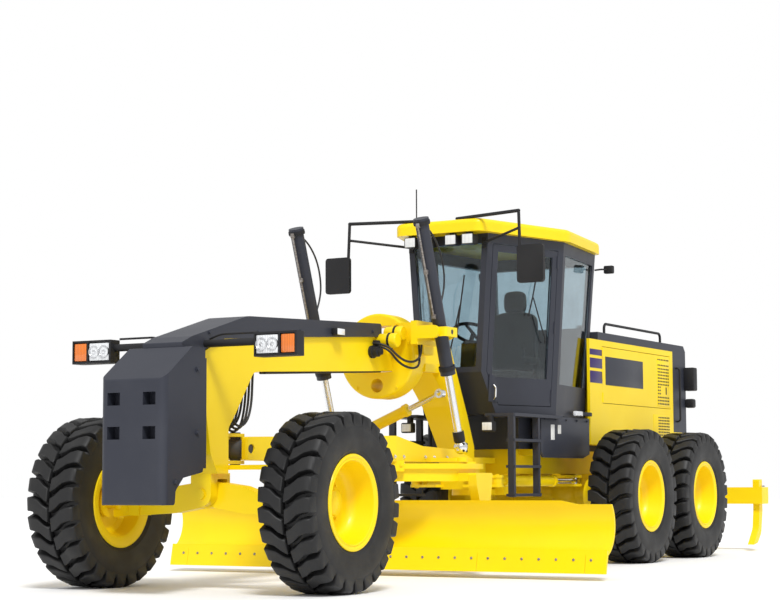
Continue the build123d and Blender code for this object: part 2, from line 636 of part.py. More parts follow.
def drawbar():
    """A-frame from the ball back over the circle, with the circle's shoes and the cylinders' brackets."""
    nose_y = 96
    nose_x = BALL_X + 55
    rear_x = CIRCLE_X - 700
    inner, outer = DRAWBAR_Y
    plan = [
        (nose_x, nose_y), (nose_x, nose_y + 44, 20), (CIRCLE_X + 700, outer, 150), (rear_x, outer), (rear_x, inner),
        (CIRCLE_X + 620, inner, 150), (BALL_X - 160, nose_y),
    ]
    height = [
        (nose_x + 5, DRAWBAR_UNDER), (nose_x + 5, 1140, 30), (CIRCLE_X + 700, 1180, 300), (CIRCLE_X + 250, 1100, 300),
        (CIRCLE_X - 350, 1080, 200), (rear_x - 5, DECK_Z[1]), (rear_x - 5, DRAWBAR_UNDER),
    ]
    beam = deck_plate(plan, (DRAWBAR_UNDER - 5, 1200)) & side_plate(height, (0, 700))
    frame = both_sides(beam)
    deck = [(CIRCLE_X + 620, -370), (CIRCLE_X + 620, 370), (CIRCLE_X - 480, 370), (CIRCLE_X - 480, -370)]
    frame += deck_plate(deck, DECK_Z) - pin_z(CIRCLE_X, 0, (900, 1100), 330)
    frame += block((BALL_X - 240, BALL_X - 130), (-110, 110), (DRAWBAR_UNDER, 1140))
    frame -= pin_y(BALL_X, BALL_Z, (-200, 200), CROSS_PIN_R + GAP)
    outrigger = [
        (LIFT_BALL[0] + 150, outer - 10), (LIFT_BALL[0] + 60, LIFT_Y, 25), (LIFT_BALL[0] - 60, LIFT_Y, 25),
        (LIFT_BALL[0] - 150, outer - 10),
    ]
    frame += both_sides(deck_plate(outrigger, DECK_Z) + pin_z(LIFT_BALL[0], LIFT_Y, (DECK_Z[0], DECK_Z[1] + 4), 60))
    for angle in SHOE_ANGLES:
        frame += circle_shoe(angle)
    motor_x = CIRCLE_X + 500
    frame += pin_z(motor_x, 0, (DECK_Z[1] - 5, 1180), 110) + pin_z(motor_x, 0, (1175, 1290), 65)
    x, y, z = SHIFT_LOW
    ear_in = SHIFT_BARREL_R + 2
    for start in (x - ear_in - 24, x + ear_in):
        ear = block((start, start + 24), (y - 40, -outer + 5), (DRAWBAR_UNDER + 10, z))
        frame += ear + pin_x(y, z, (start, start + 24), 40)
    return frame + pin_x(y, z, (x - ear_in - 24, x + ear_in + 24), TRUNNION_R)


def circle_shoe(angle):
    """Guide shoe hooked under the circle's flange, with the wear pad that rests on it."""
    outer = CIRCLE_R + 35
    hook_z = FLANGE_Z - GAP - SHOE_HOOK
    across = (-SHOE_HALF, SHOE_HALF)
    shoe = block((CIRCLE_R + GAP, outer), across, (hook_z, DRAWBAR_UNDER + 5))
    shoe += block((CIRCLE_WEB_R + 12, outer), across, (hook_z, FLANGE_Z - GAP))
    shoe += block((CIRCLE_R - 60, CIRCLE_R + 5), across, (CIRCLE_Z[1] + GAP, DRAWBAR_UNDER + 5))
    return Pos(CIRCLE_X, 0, 0) * Rot(0, 0, angle) * shoe


def circle_bore():
    """Outline of the bore with its inward teeth."""
    points = []
    for number in range(CIRCLE_TEETH * 2):
        middle = pi * number / CIRCLE_TEETH
        reach = CIRCLE_INNER_R - (TOOTH_DEPTH if number % 2 else 0)
        for offset in (-0.28, 0.28):
            turn = middle + offset * pi / CIRCLE_TEETH
            points.append((CIRCLE_X + reach * cos(turn), reach * sin(turn)))
    return points


def circle():
    """Toothed ring that turns in the drawbar's shoes, with its two blade arms."""
    ring = pin_z(CIRCLE_X, 0, (FLANGE_Z, CIRCLE_Z[1]), CIRCLE_R)
    ring += pin_z(CIRCLE_X, 0, (CIRCLE_Z[0], FLANGE_Z + 5), CIRCLE_WEB_R)
    ring -= deck_plate(circle_bore(), (CIRCLE_Z[0] - 10, CIRCLE_Z[1] + 10))
    root_x = (CIRCLE_X - 130, CIRCLE_X + 190)
    # Rows: place along, height, corner radius
    arm = [
        (root_x[0], ARM_ROOT_Z, 20), (root_x[1], ARM_ROOT_Z, 20), (root_x[1] - 20, 760, 60), (TIP_X + 35, 560, 80),
        (TIP_X + 35, TIP_Z), (TIP_X - 60, TIP_Z), (root_x[0] + 40, 640, 120),
    ]
    side = side_plate(arm, ARM_Y) + pin_y(TIP_X, TIP_Z, ARM_Y, 60)
    side += block(root_x, (CIRCLE_WEB_R - 30, ARM_Y[0] + 5), (CIRCLE_Z[0], ARM_ROOT_Z))
    side -= pin_y(TIP_X, TIP_Z, (700, 900), TIP_PIN_R + GAP)
    return ring + both_sides(side)


# Blade

def blade_bracket():
    """Tilting frame behind the blade: cross tube, end plates and slotted slide shoes."""
    frame = pin_y(TIP_X, TIP_Z, (-ARM_Y[1] - 10, ARM_Y[1] + 10), TIP_PIN_R)
    frame += pin_y(TIP_X, TIP_Z, (-ARM_Y[0] + 10, ARM_Y[0] - 10), TIP_TUBE_R)
    head, half_head = RAIL_HEAD
    slot_y = (SLIDE_SHOE_Y[0] - 60, SLIDE_SHOE_Y[1] + 60)
    for z in RAIL_HEIGHTS:
        shoe = block((RAIL_X - 42, RAIL_X + 10), SLIDE_SHOE_Y, (z - 45, z + 45))
        shoe -= block((RAIL_X - head - 2 - GAP, RAIL_X - 2 + GAP), slot_y, (z - half_head - GAP, z + half_head + GAP))
        shoe -= block((RAIL_X - 3, RAIL_X + 11), slot_y, (z - RAIL_WEB - GAP, z + RAIL_WEB + GAP))
        frame += both_sides(shoe)
    back = RAIL_X - head - 4
    plate = [
        (TIP_X - 60, TIP_Z - 70, 30), (back, TIP_Z - 105), (back, TIP_Z + 205), (TIP_X - 40, TIP_Z + 120, 60),
    ]
    for y in ((SLIDE_SHOE_Y[0], SLIDE_SHOE_Y[0] + 40), (SLIDE_SHOE_Y[1] - 40, SLIDE_SHOE_Y[1])):
        frame += both_sides(side_plate(plate, y))
    return frame


def blade_arc():
    """Centre and radius of the blade's front face, from its three heights."""
    (x1, z1), (x2, z2), (x3, z3) = BLADE_CURVE
    a = x2 - x1
    b = z2 - z1
    c = x3 - x1
    d = z3 - z1
    first = a * (x1 + x2) + b * (z1 + z2)
    second = c * (x1 + x3) + d * (z1 + z3)
    twist = 2 * (a * (z3 - z2) - b * (x3 - x2))
    centre = ((d * first - b * second) / twist, (a * second - c * first) / twist)
    return centre, hypot(x1 - centre[0], z1 - centre[1])


def blade_face_x(z):
    """Front face of the blade at a height."""
    (x, middle), radius = blade_arc()
    return x - sqrt(radius ** 2 - (z - middle) ** 2)


def moldboard():
    """Curved blade with its bolted edges, two rails and lowered ends."""
    front = ThreePointArc(*BLADE_CURVE)
    edge, back, top = [(x - BLADE_THICK, z) for x, z in BLADE_CURVE]
    rear = ThreePointArc(top, back, edge)
    joints = Line(BLADE_CURVE[2], top) + Line(edge, BLADE_CURVE[0])
    half = BLADE_LENGTH / 2
    blade = extrude(Plane.XZ * make_face(front + rear + joints), amount=half, both=True)
    lip = [
        (BLADE_EDGE_X + 26, BLADE_EDGE_Z), (BLADE_EDGE_X + 44, BLADE_EDGE_Z), (BLADE_EDGE_X + 6, BLADE_EDGE_Z + 190),
        (BLADE_EDGE_X - 24, BLADE_EDGE_Z + 180),
    ]
    blade += side_plate(lip, (-half, half))
    seam_x = (BLADE_EDGE_X + 12, BLADE_EDGE_X + 60)
    for y in EDGE_SEAMS:
        for side in ({y, -y}):
            blade -= block(seam_x, (side - 1.5, side + 1.5), (BLADE_EDGE_Z - 5, BLADE_EDGE_Z + 160))
    notch = [
        (half + 10, BLADE_TOP_Z + 10), (half - 480, BLADE_TOP_Z + 10), (half - 300, BLADE_TOP_Z - 30),
        (half + 10, BLADE_TOP_Z - 30),
    ]
    blade -= both_sides(cross_plate(notch, (BLADE_EDGE_X - 300, BLADE_EDGE_X + 300)))
    head, half_head = RAIL_HEAD
    span = (-half + 250, half - 250)
    for z in RAIL_HEIGHTS:
        blade += block((RAIL_X - head - 2, RAIL_X - 2), span, (z - half_head, z + half_head))
        blade += block((RAIL_X - 3, blade_face_x(z) - 8), span, (z - RAIL_WEB, z + RAIL_WEB))
    return blade


# Side shift, articulation and ripper cylinders

def centreshift_cylinder():
    """Barrel of the drawbar's side shift, on the drawbar's right side."""
    barrel = hydraulic_barrel(SHIFT_LOW, SHIFT_HIGH, (60, 630), SHIFT_BARREL_R, SHIFT_ROD_R, cap=20)
    barrel += rod_between(along(SHIFT_LOW, SHIFT_HIGH, 20), along(SHIFT_LOW, SHIFT_HIGH, 70), 30)
    x, y, z = SHIFT_LOW
    half = SHIFT_BARREL_R - 2
    barrel += pin_x(y, z, (x - half, x + half), SHIFT_BARREL_R - 4)
    return barrel - pin_x(y, z, (x - half - 10, x + half + 10), TRUNNION_R + GAP)


def centreshift_rod():
    """Rod of the drawbar's side shift, up to the saddle's lug."""
    length = (Vector(*SHIFT_HIGH) - Vector(*SHIFT_LOW)).length
    rod = rod_between(along(SHIFT_LOW, SHIFT_HIGH, 350), along(SHIFT_LOW, SHIFT_HIGH, length - 20), SHIFT_ROD_R)
    x, y, z = SHIFT_HIGH
    radius, half = SHIFT_EYE
    rod += pin_x(y, z, (x - half, x + half), radius)
    return rod - pin_x(y, z, (x - half - 10, x + half + 10), TRUNNION_R)


def articulation_ends():
    """Front pin and rear pin of the left articulation cylinder."""
    return (*ARTIC_FRONT, ARTIC_Z), (*ARTIC_REAR, ARTIC_Z)


def articulation_cylinder():
    """Left barrel between the front frame's lug and its gland."""
    start, end = articulation_ends()
    barrel = hydraulic_barrel(start, end, (125, 1180), ARTIC_BARREL_R, ARTIC_ROD_R)
    barrel += rod_between(along(start, end, 20), along(start, end, 130), 27)
    barrel += pin_z(start[0], start[1], (ARTIC_Z - ARTIC_EYE[1], ARTIC_Z + ARTIC_EYE[1]), 52)
    return barrel - pin_z(start[0], start[1], (ARTIC_Z - 60, ARTIC_Z + 60), ARTIC_PIN_R + GAP)


def articulation_rod():
    """Left rod with its eye between the rear frame's ears."""
    start, end = articulation_ends()
    length = (Vector(*end) - Vector(*start)).length
    rod = hydraulic_rod(start, end, (330, length - 30), ARTIC_ROD_R, ARTIC_BARREL_R - 14 - GAP)
    radius, half = ARTIC_EYE
    rod += pin_z(end[0], end[1], (ARTIC_Z - half, ARTIC_Z + half), radius)
    return rod - pin_z(end[0], end[1], (ARTIC_Z - 60, ARTIC_Z + 60), ARTIC_PIN_R + GAP)


def ripper_ends():
    """Upper pin and lower pin of the ripper's cylinder."""
    return (RIPPER_LUG_X, 0, RIPPER_LUG_Z), (RIPPER_EYE_X, 0, RIPPER_EYE_Z)


def ripper_cylinder():
    """Barrel between the bumper's lug and its gland."""
    start, end = ripper_ends()
    barrel = hydraulic_barrel(start, end, (75, 620), 50, 26)
    barrel += rod_between(start, along(start, end, 80), 34)
    barrel += pin_y(start[0], start[2], (-50, 50), 48)
    return barrel - pin_y(start[0], start[2], (-60, 60), TRUNNION_R + GAP)


def ripper_rod():
    """Rod down to the ripper beam's ears."""
    start, end = ripper_ends()
    length = (Vector(*end) - Vector(*start)).length
    rod = hydraulic_rod(start, end, (330, length - 20), 26, 36 - GAP)
    half = RIPPER_EAR[0] - GAP
    rod += pin_y(end[0], end[2], (-half, half), 36)
    return rod - pin_y(end[0], end[2], (-50, 50), 20 + GAP)


# Rear frame

def rear_frame():
    """Rails, hitch ears, bulkhead, cylinder lugs, rear bumper, tow plates and ripper towers."""
    front_x = HITCH_X - 240
    bulkhead_x = (front_x - 90, front_x)
    ear_low = (HITCH_HEAD_Z[0] - GAP - HITCH_EAR, HITCH_HEAD_Z[0] - GAP)
    ear_high = (HITCH_HEAD_Z[1] + GAP, HITCH_HEAD_Z[1] + GAP + HITCH_EAR)
    frame = both_sides(block((RAIL_REAR_X, front_x), RAIL_Y, RAIL_Z))
    frame += block(bulkhead_x, (-250, 250), (ear_low[0], RAIL_Z[1]))
    frame += block(bulkhead_x, (-RAIL_Y[1], RAIL_Y[1]), RAIL_Z)
    for z in (ear_low, ear_high):
        frame += block((front_x - 10, HITCH_X), (-HITCH_HEAD_R, HITCH_HEAD_R), z)
        frame += pin_z(HITCH_X, 0, z, HITCH_HEAD_R)
    frame += pin_z(HITCH_X, 0, (ear_low[0], ear_high[1] + 15), HITCH_PIN_R)
    x, y = ARTIC_REAR
    inner = ARTIC_EYE[1] + GAP
    for z in ((ARTIC_Z - inner - ARTIC_PLATE, ARTIC_Z - inner), (ARTIC_Z + inner, ARTIC_Z + inner + ARTIC_PLATE)):
        frame += both_sides(block((x - 60, x + 60), (RAIL_Y[1] - 60, y), z) + pin_z(x, y, z, 60))
    web_z = (ARTIC_Z - inner - ARTIC_PLATE, RAIL_Z[0] + 5)
    frame += both_sides(block((x - 60, x + 60), (RAIL_Y[0], RAIL_Y[1] - 50), web_z))
    for cross_x in (TANDEM_X + 380, TANDEM_X - 380, TANDEM_X - 1100):
        frame += block((cross_x - 60, cross_x + 60), (-RAIL_Y[1], RAIL_Y[1]), (RAIL_Z[0] + 30, RAIL_Z[1] - 20))
    for cross_x in (HITCH_X - 400, AXLE_X - 5640):
        frame += block((cross_x - 60, cross_x + 60), (-500, 500), (RAIL_Z[1] - 60, RAIL_Z[1]))
    bumper = [
        (RAIL_REAR_X, -HOOD_HALF), (RAIL_REAR_X, HOOD_HALF), (ENCLOSURE_REAR_X + 20, HOOD_HALF, 40),
        (ENCLOSURE_REAR_X + 20, -HOOD_HALF, 40),
    ]
    frame += deck_plate(bumper, (800, HOOD_Z[0] + 170 - GAP))
    return frame + ripper_towers() + ripper_lug() + tow_plates()


def ripper_towers():
    """Plates behind the bumper with the ripper arms' pins."""
    x, z = RIPPER_PIVOT
    # Rows: place along, height, corner radius
    plate = [(x, z - 60), (ENCLOSURE_REAR_X + 30, z - 60), (ENCLOSURE_REAR_X + 30, z + 110), (x, z + 60)]
    tower = side_plate(plate, (300, 340)) + pin_y(x, z, (300, 340), 60)
    return both_sides(tower + pin_y(x, z, (335, 425), RIPPER_PIN_R))


def ripper_lug():
    """Ears on the bumper for the ripper cylinder's upper pin."""
    ears = pin_y(RIPPER_LUG_X, RIPPER_LUG_Z, (-80, 80), TRUNNION_R)
    plate = [
        (ENCLOSURE_REAR_X + 30, RIPPER_LUG_Z - 70), (RIPPER_LUG_X - 45, RIPPER_LUG_Z - 40, 30),
        (RIPPER_LUG_X - 45, RIPPER_LUG_Z + 45, 30), (ENCLOSURE_REAR_X + 30, RIPPER_LUG_Z + 70),
    ]
    return ears + both_sides(side_plate(plate, (54, 84)))


def tow_plates():
    """Two plates of the rear tow hitch, bored for its pin."""
    plates = []
    for z in ((830, 855), (925, 950)):
        plates.append(block((TOW_X, ENCLOSURE_REAR_X + 30), (-TOW_EYE_R, TOW_EYE_R), z) + pin_z(TOW_X, 0, z, TOW_EYE_R))
    return plates[0] + plates[1] - pin_z(TOW_X, 0, (800, 980), TOW_BORE_R)


def tandem_axle():
    """Axle housing with a tandem case at each end and a spindle for each wheel."""
    half = TANDEM_SPREAD / 2
    low = HUB_Z - CASE_R
    high = HUB_Z + CASE_R
    # Rows: place along, height, corner radius
    sides = [
        (TANDEM_X - half, low), (TANDEM_X - 250, low - CASE_RISE, 200), (TANDEM_X + 250, low - CASE_RISE, 200),
        (TANDEM_X + half, low), (TANDEM_X + half, high), (TANDEM_X + 250, high + CASE_RISE, 200),
        (TANDEM_X - 250, high + CASE_RISE, 200), (TANDEM_X - half, high),
    ]
    case = side_plate(sides, CASE_Y)
    for x in (TANDEM_X - half, TANDEM_X + half):
        case += pin_y(x, HUB_Z, CASE_Y, CASE_R)
        case += pin_y(x, HUB_Z, (CASE_Y[1], HALF_TRACK - 72), 120)
        case += spindle(x, CASE_Y[1])
    axle = both_sides(case)
    axle += pin_y(TANDEM_X, HUB_Z + 30, (-CASE_Y[0] - 30, CASE_Y[0] + 30), 150)
    axle += Pos(TANDEM_X, 0, HUB_Z + 30) * Sphere(200)
    mount_z = (HUB_Z + 100, RAIL_Z[0] - GAP)
    return axle + both_sides(block((TANDEM_X - 170, TANDEM_X + 170), RAIL_Y, mount_z))


def engine_block():
    """The engine as one plain mass."""
    return block((AXLE_X - 7500, AXLE_X - 6200), (-330, 330), (RAIL_Z[1] + GAP, 1850))


# Hood

def hood_hinge_place(z):
    """Hinge line of the left hood door, at its front edge."""
    return (HOOD_DOOR_X[1] - DOOR_GAP / 2, HOOD_HALF, z)


def hood_shell():
    """Yellow side walls with louvres, front and rear frames, open where the side doors are."""
    shell = block((HOOD_REAR_X, HOOD_FRONT_X), (-HOOD_HALF, HOOD_HALF), HOOD_Z)
    shell -= block((HOOD_REAR_X - 10, HOOD_FRONT_X + 10), (-HOOD_HALF + HOOD_WALL, HOOD_HALF - HOOD_WALL),
                   (HOOD_Z[0] - 10, HOOD_Z[1] + 10))
    bulkhead_x = AXLE_X - 5915
    for x in (bulkhead_x, HOOD_REAR_X + 10):
        shell += block((x, x + 30), (-HOOD_HALF, HOOD_HALF), HOOD_Z)
    shell -= both_sides(block(HOOD_DOOR_X, (HOOD_HALF - HOOD_WALL - 5, HOOD_HALF + 10), HOOD_DOOR_Z))
    wall_y = (HOOD_HALF - HOOD_WALL - 5, HOOD_HALF + 10)
    for z in (1260, 1330, 1400, 1470):
        shell -= both_sides(block((HOOD_REAR_X + LOUVRE_X[0], HOOD_REAR_X + LOUVRE_X[1] + 350), wall_y, (z, z + 25)))
    shell += both_sides(block((HOOD_REAR_X + 20, bulkhead_x - 5), (RAIL_Y[1], HOOD_HALF), (HOOD_Z[0], HOOD_Z[0] + 20)))
    hinges = hinge_line(hood_hinge_place, HOOD_HINGES, HOOD_KNUCKLE)
    return right(hang_on(right(hang_on(shell, hinges)), hinges))


def rear_enclosure():
    """Black top of the hood and the hollow rear housing with its grille."""
    top_z = HOOD_Z[1] + HOOD_CAP
    top = block((ENCLOSURE_REAR_X, AXLE_X - 5915), (-HOOD_HALF, HOOD_HALF), (HOOD_Z[1] + GAP, top_z))
    rear = block((ENCLOSURE_REAR_X, HOOD_REAR_X - GAP), (-HOOD_HALF, HOOD_HALF), (HOOD_Z[0] + 170, top_z))
    rear -= block((ENCLOSURE_REAR_X + 60, HOOD_REAR_X - 20), (-HOOD_HALF + 40, HOOD_HALF - 40),
                  (HOOD_Z[0] + 200, HOOD_Z[1] - 20))
    for number in range(7):
        z = HOOD_Z[0] + 300 + number * 105
        rear -= block((ENCLOSURE_REAR_X - 10, ENCLOSURE_REAR_X + 70), (-430, 430), (z, z + 50))
    housing = top + rear
    back = housing.edges().filter_by(Axis.Y).group_by(Axis.X)[0].sort_by(Axis.Z)[-1]
    return chamfer(back, 60)


def hood_door():
    """Left service door in the hood's side, hinged at its front edge, with its latch recess and slots."""
    x = (HOOD_DOOR_X[0] + DOOR_GAP, HOOD_DOOR_X[1] - DOOR_GAP)
    z = (HOOD_DOOR_Z[0] + DOOR_GAP, HOOD_DOOR_Z[1] - DOOR_GAP)
    door = block(x, (HOOD_HALF - HOOD_WALL, HOOD_HALF), z)
    latch_z = (z[0] + z[1]) / 2 - 100
    door -= block((x[0] + 20, x[0] + 90), (HOOD_HALF - 12, HOOD_HALF + 10), (latch_z - 40, latch_z + 40))
    slots_x = (x[0] + LOUVRE_X[0], x[0] + LOUVRE_X[1] + 120)
    for number in range(6):
        low = z[1] - 90 - number * 45
        door -= block(slots_x, (HOOD_HALF - HOOD_WALL - 5, HOOD_HALF + 10), (low, low + 22))
    return hung_from(door, hinge_line(hood_hinge_place, HOOD_HINGES, HOOD_KNUCKLE))


# Cab

def cab_body(shift):
    """Tapered six-sided cab volume, moved in by a wall."""
    layers = []
    for corners, z in ((CAB_FLOOR_OUTLINE, CAB_FLOOR_Z), (CAB_TOP_OUTLINE, CAB_TOP_Z)):
        loop = corners + [(x, -y) for x, y in reversed(corners)]
        face = make_face(Polyline(*loop, close=True))
        if shift:
            face = offset(face, -shift, kind=Kind.INTERSECTION)
        layers.append(Pos(0, 0, z) * face)
    return loft(layers, ruled=True)


def cab_nose(shift):
    """What the sloping lower front leaves out, moved back by a border."""
    x = CAB_FLOOR_OUTLINE[0][0]
    start_z, depth = CAB_SLOPE
    rows = [
        (x - shift, start_z), (x + 100, start_z), (x + 100, CAB_FLOOR_Z - 50),
        (x - depth - shift - 28, CAB_FLOOR_Z - 50),
    ]
    return side_plate(rows, (-900, 900))


def cab_corner(index, side, z):
    """A corner of the cab's outline at a height, on the left or the right side."""
    share = (z - CAB_FLOOR_Z) / (CAB_TOP_Z - CAB_FLOOR_Z)
    low_x, low_y = CAB_FLOOR_OUTLINE[index]
    high_x, high_y = CAB_TOP_OUTLINE[index]
    return Vector(low_x + (high_x - low_x) * share, side * (low_y + (high_y - low_y) * share), z)


def cab_patch(first, second, margins, z):
    """Corners of a patch on a cab side, between two posts given as (index, side)."""
    rows = []
    for height in z:
        start = cab_corner(*first, height)
        end = cab_corner(*second, height)
        direction = (end - start).normalized()
        rows.append((start + direction * margins[0], end - direction * margins[1]))
    (low_start, low_end), (high_start, high_end) = rows
    return [low_start, low_end, high_end, high_start]


def panel_solid(points, outward, inward):
    """A patch of the cab's side given a thickness."""
    face = make_face(Polyline(*[tuple(point) for point in points], close=True)).faces()[0]
    normal = face.normal_at()
    centre = face.center()
    away = Vector(centre.X - (AXLE_X - 4850), centre.Y, 0)
    if normal.dot(away) < 0:
        normal = normal * -1
    start = face.moved(Location(tuple(normal * -inward)))
    return extrude(start, amount=inward + outward, dir=tuple(normal))


def door_patch(gap):
    """Left doorway's corners, drawn in by a gap."""
    z = (DOOR_Z[0] + gap, DOOR_Z[1] - gap)
    return cab_patch((0, 1), (1, 1), (DOOR_MARGINS[0] + gap, DOOR_MARGINS[1] + gap), z)


def door_glass_patch(gap):
    """Left door window's corners, drawn in by a gap."""
    z = (DOOR_GLASS_Z[0] + gap, DOOR_GLASS_Z[1] - gap)
    margins = (DOOR_MARGINS[0] + DOOR_BORDER + gap, DOOR_MARGINS[1] + DOOR_BORDER + gap)
    return cab_patch((0, 1), (1, 1), margins, z)


def fixed_window_patches(gap):
    """Quarter, front and rear windows, each as a patch of the cab's side."""
    margin = WINDOW_MARGIN + gap
    quarter_z = (QUARTER_Z[0] + gap, QUARTER_Z[1] - gap)
    front_z = (FRONT_GLASS_Z[0] + gap, FRONT_GLASS_Z[1] - gap)
    rear_z = (REAR_GLASS_Z + gap, QUARTER_Z[1] - gap)
    return [
        cab_patch((1, 1), (2, 1), (margin, margin), quarter_z),
        cab_patch((1, -1), (2, -1), (margin, margin), quarter_z),
        cab_patch((0, 1), (0, -1), (margin - 10, margin - 10), front_z),
        cab_patch((2, 1), (2, -1), (margin, margin), rear_z),
    ]


def cab_hinge_place(z):
    """Hinge line of the left cab door, up its rear edge on the outer face."""
    rear = cab_corner(1, 1, z)
    direction = (rear - cab_corner(0, 1, z)).normalized()
    return rear - direction * (DOOR_MARGINS[1] + DOOR_GAP / 2)


def cab_frame():
    """Hollow cab with its pillars, floor and skirt, windows and doorways cut."""
    outer = cab_body(0) - cab_nose(0)
    inner = cab_body(CAB_WALL) - cab_nose(CAB_WALL)
    floor = block((-3000, 3000), (-900, 900), (CAB_FLOOR_Z - 10, CAB_FLOOR_Z + CAB_DECK))
    shell = outer - (inner - floor)
    shell -= both_sides(panel_solid(door_patch(0), 40, CAB_WALL + 40) - cab_nose(DOOR_MARGINS[0]))
    for patch in fixed_window_patches(0):
        shell -= panel_solid(patch, 40, CAB_WALL + 40)
    hinges = hinge_line(cab_hinge_place, CAB_HINGES, CAB_KNUCKLE)
    shell = right(hang_on(right(hang_on(shell, hinges)), hinges))
    return shell + block((AXLE_X - 5790, AXLE_X - 4330), (-460, 460), (RAIL_Z[1] + GAP, CAB_FLOOR_Z + 5))


def cab_roof():
    """Yellow roof with rounded corners and edges, overhanging the glass."""
    # Rows: place along, place across, corner radius
    half = [(AXLE_X - 3600, 440, 90), (AXLE_X - 4800, 800, 200), (AXLE_X - 5930, 640, 90)]
    loop = half + [(x, -y, radius) for x, y, radius in reversed(half)]
    roof = deck_plate(loop, (CAB_TOP_Z + GAP, ROOF_TOP_Z))
    return fillet(roof.faces().sort_by(Axis.Z)[-1].edges(), 45)


def cab_windows():
    """Fixed panes of the cab."""
    panes = [panel_solid(patch, -20, 20 + GLASS_THICK) for patch in fixed_window_patches(GAP)]
    return Compound(children=panes)


def cab_door():
    """Left door with its window cut and its lower front corner sloped like the cab's."""
    door = panel_solid(door_patch(DOOR_GAP), 0, DOOR_THICK) - cab_nose(DOOR_MARGINS[0] + DOOR_GAP)
    door -= panel_solid(door_glass_patch(0), 40, CAB_WALL + 40)
    return hung_from(door, hinge_line(cab_hinge_place, CAB_HINGES, CAB_KNUCKLE))


def door_glass():
    """Pane of the left door."""
    return panel_solid(door_glass_patch(GAP), -15, 15 + GLASS_THICK)


def operator_seat():
    """Seat on its pedestal, with backrest and head rest."""
    x = AXLE_X - 5000
    floor = CAB_FLOOR_Z + CAB_DECK + GAP
    seat = block((x - 170, x + 170), (-180, 180), (floor, floor + 260))
    cushion = [(x - 250, floor + 260, 20), (x + 260, floor + 260, 30), (x + 270, floor + 400, 50), (x - 250, floor + 380)]
    seat += side_plate(cushion, (-250, 250))
    # Rows: place along, height, corner radius
    back = [
        (x - 250, floor + 300), (x - 120, floor + 370), (x - 200, floor + 1000, 30), (x - 310, floor + 1000, 30),
    ]
    seat += side_plate(back, (-240, 240))
    head = [
        (x - 215, floor + 980), (x - 300, floor + 980), (x - 325, floor + 1180, 25), (x - 235, floor + 1180, 25),
    ]
    return seat + side_plate(head, (-140, 140))


def steering_console():
    """Column with the steering wheel on it."""
    x = AXLE_X - 4250
    floor = CAB_FLOOR_Z + CAB_DECK + GAP
    lean = [(x - 60, floor), (x + 120, floor), (x + 40, floor + 620, 20), (x - 60, floor + 660, 20)]
    console = side_plate(lean, (-70, 70))
    hub = (x - 20, 0, floor + 640)
    centre = (x - 70, 0, floor + 720)
    rim_plane = Plane(origin=centre, z_dir=(-0.5, 0, 1))
    return console + rod_between(hub, centre, 22) + rim_plane * Torus(185, 16) + rim_plane * Box(360, 30, 14)


def mirrors():
    """Mirrors on their tube arms, and the whip antenna on the roof."""
    tube = 16
    corner = (AXLE_X - 3500, 880, ROOF_TOP_Z + tube + GAP)
    arm = rod_between((AXLE_X - 3700, 150, ROOF_TOP_Z + tube + GAP), corner, tube)
    arm += Pos(*corner) * Sphere(tube)
    arm += rod_between(corner, (AXLE_X - 3490, 900, 2640), tube - 2)
    foot_x = CAB_TOP_OUTLINE[0][0] + GAP
    arm += rod_between((AXLE_X - 3499, 883, 3060), (foot_x + 11, 384, 2990), tube - 4)
    arm += block((foot_x, foot_x + 14), (362, 406), (2940, 3040))
    face = [(870, 2560, 30), (1130, 2560, 30), (1130, 2900, 30), (870, 2900, 30)]
    glass = cross_plate(face, (AXLE_X - 3510, AXLE_X - 3470))
    return both_sides(arm + glass) + pin_z(AXLE_X - 3900, -380, (ROOF_TOP_Z + GAP, 3560), 6)


def roof_lamps():
    """Four work lamps on brackets under the front edge of the roof."""
    lamps = []
    for y in (-300, -125, 125, 300):
        face = [(y - 60, 2965, 20), (y + 60, 2965, 20), (y + 60, 3065, 20), (y - 60, 3065, 20)]
        lamp = cross_plate(face, (AXLE_X - 3720, AXLE_X - 3620))
        lamps.append(lamp + block((AXLE_X - 3700, AXLE_X - 3640), (y - 20, y + 20), (3050, CAB_TOP_Z)))
    return Compound(children=lamps)


def access_steps():
    """Ladders with three treads and a platform under each cab door."""
    post_y = (590, 650)
    top = CAB_FLOOR_Z - GAP
    ladder = block((AXLE_X - 3870, AXLE_X - 3830), post_y, (655, top - 10))
    ladder += block((AXLE_X - 4400, AXLE_X - 4360), post_y, (655, top - 10))
    for z in (660, 920, 1160):
        ladder += block((AXLE_X - 4400, AXLE_X - 3830), (570, 660), (z, z + 25))
    platform = [
        (AXLE_X - 3830, 345, 20), (AXLE_X - 3830, 660, 20), (AXLE_X - 4900, 660), (AXLE_X - 4900, 600),
        (AXLE_X - 4320, 467), (AXLE_X - 4150, 380, 60),
    ]
    return both_sides(ladder + deck_plate(platform, (top - 30, top)))


# Ripper

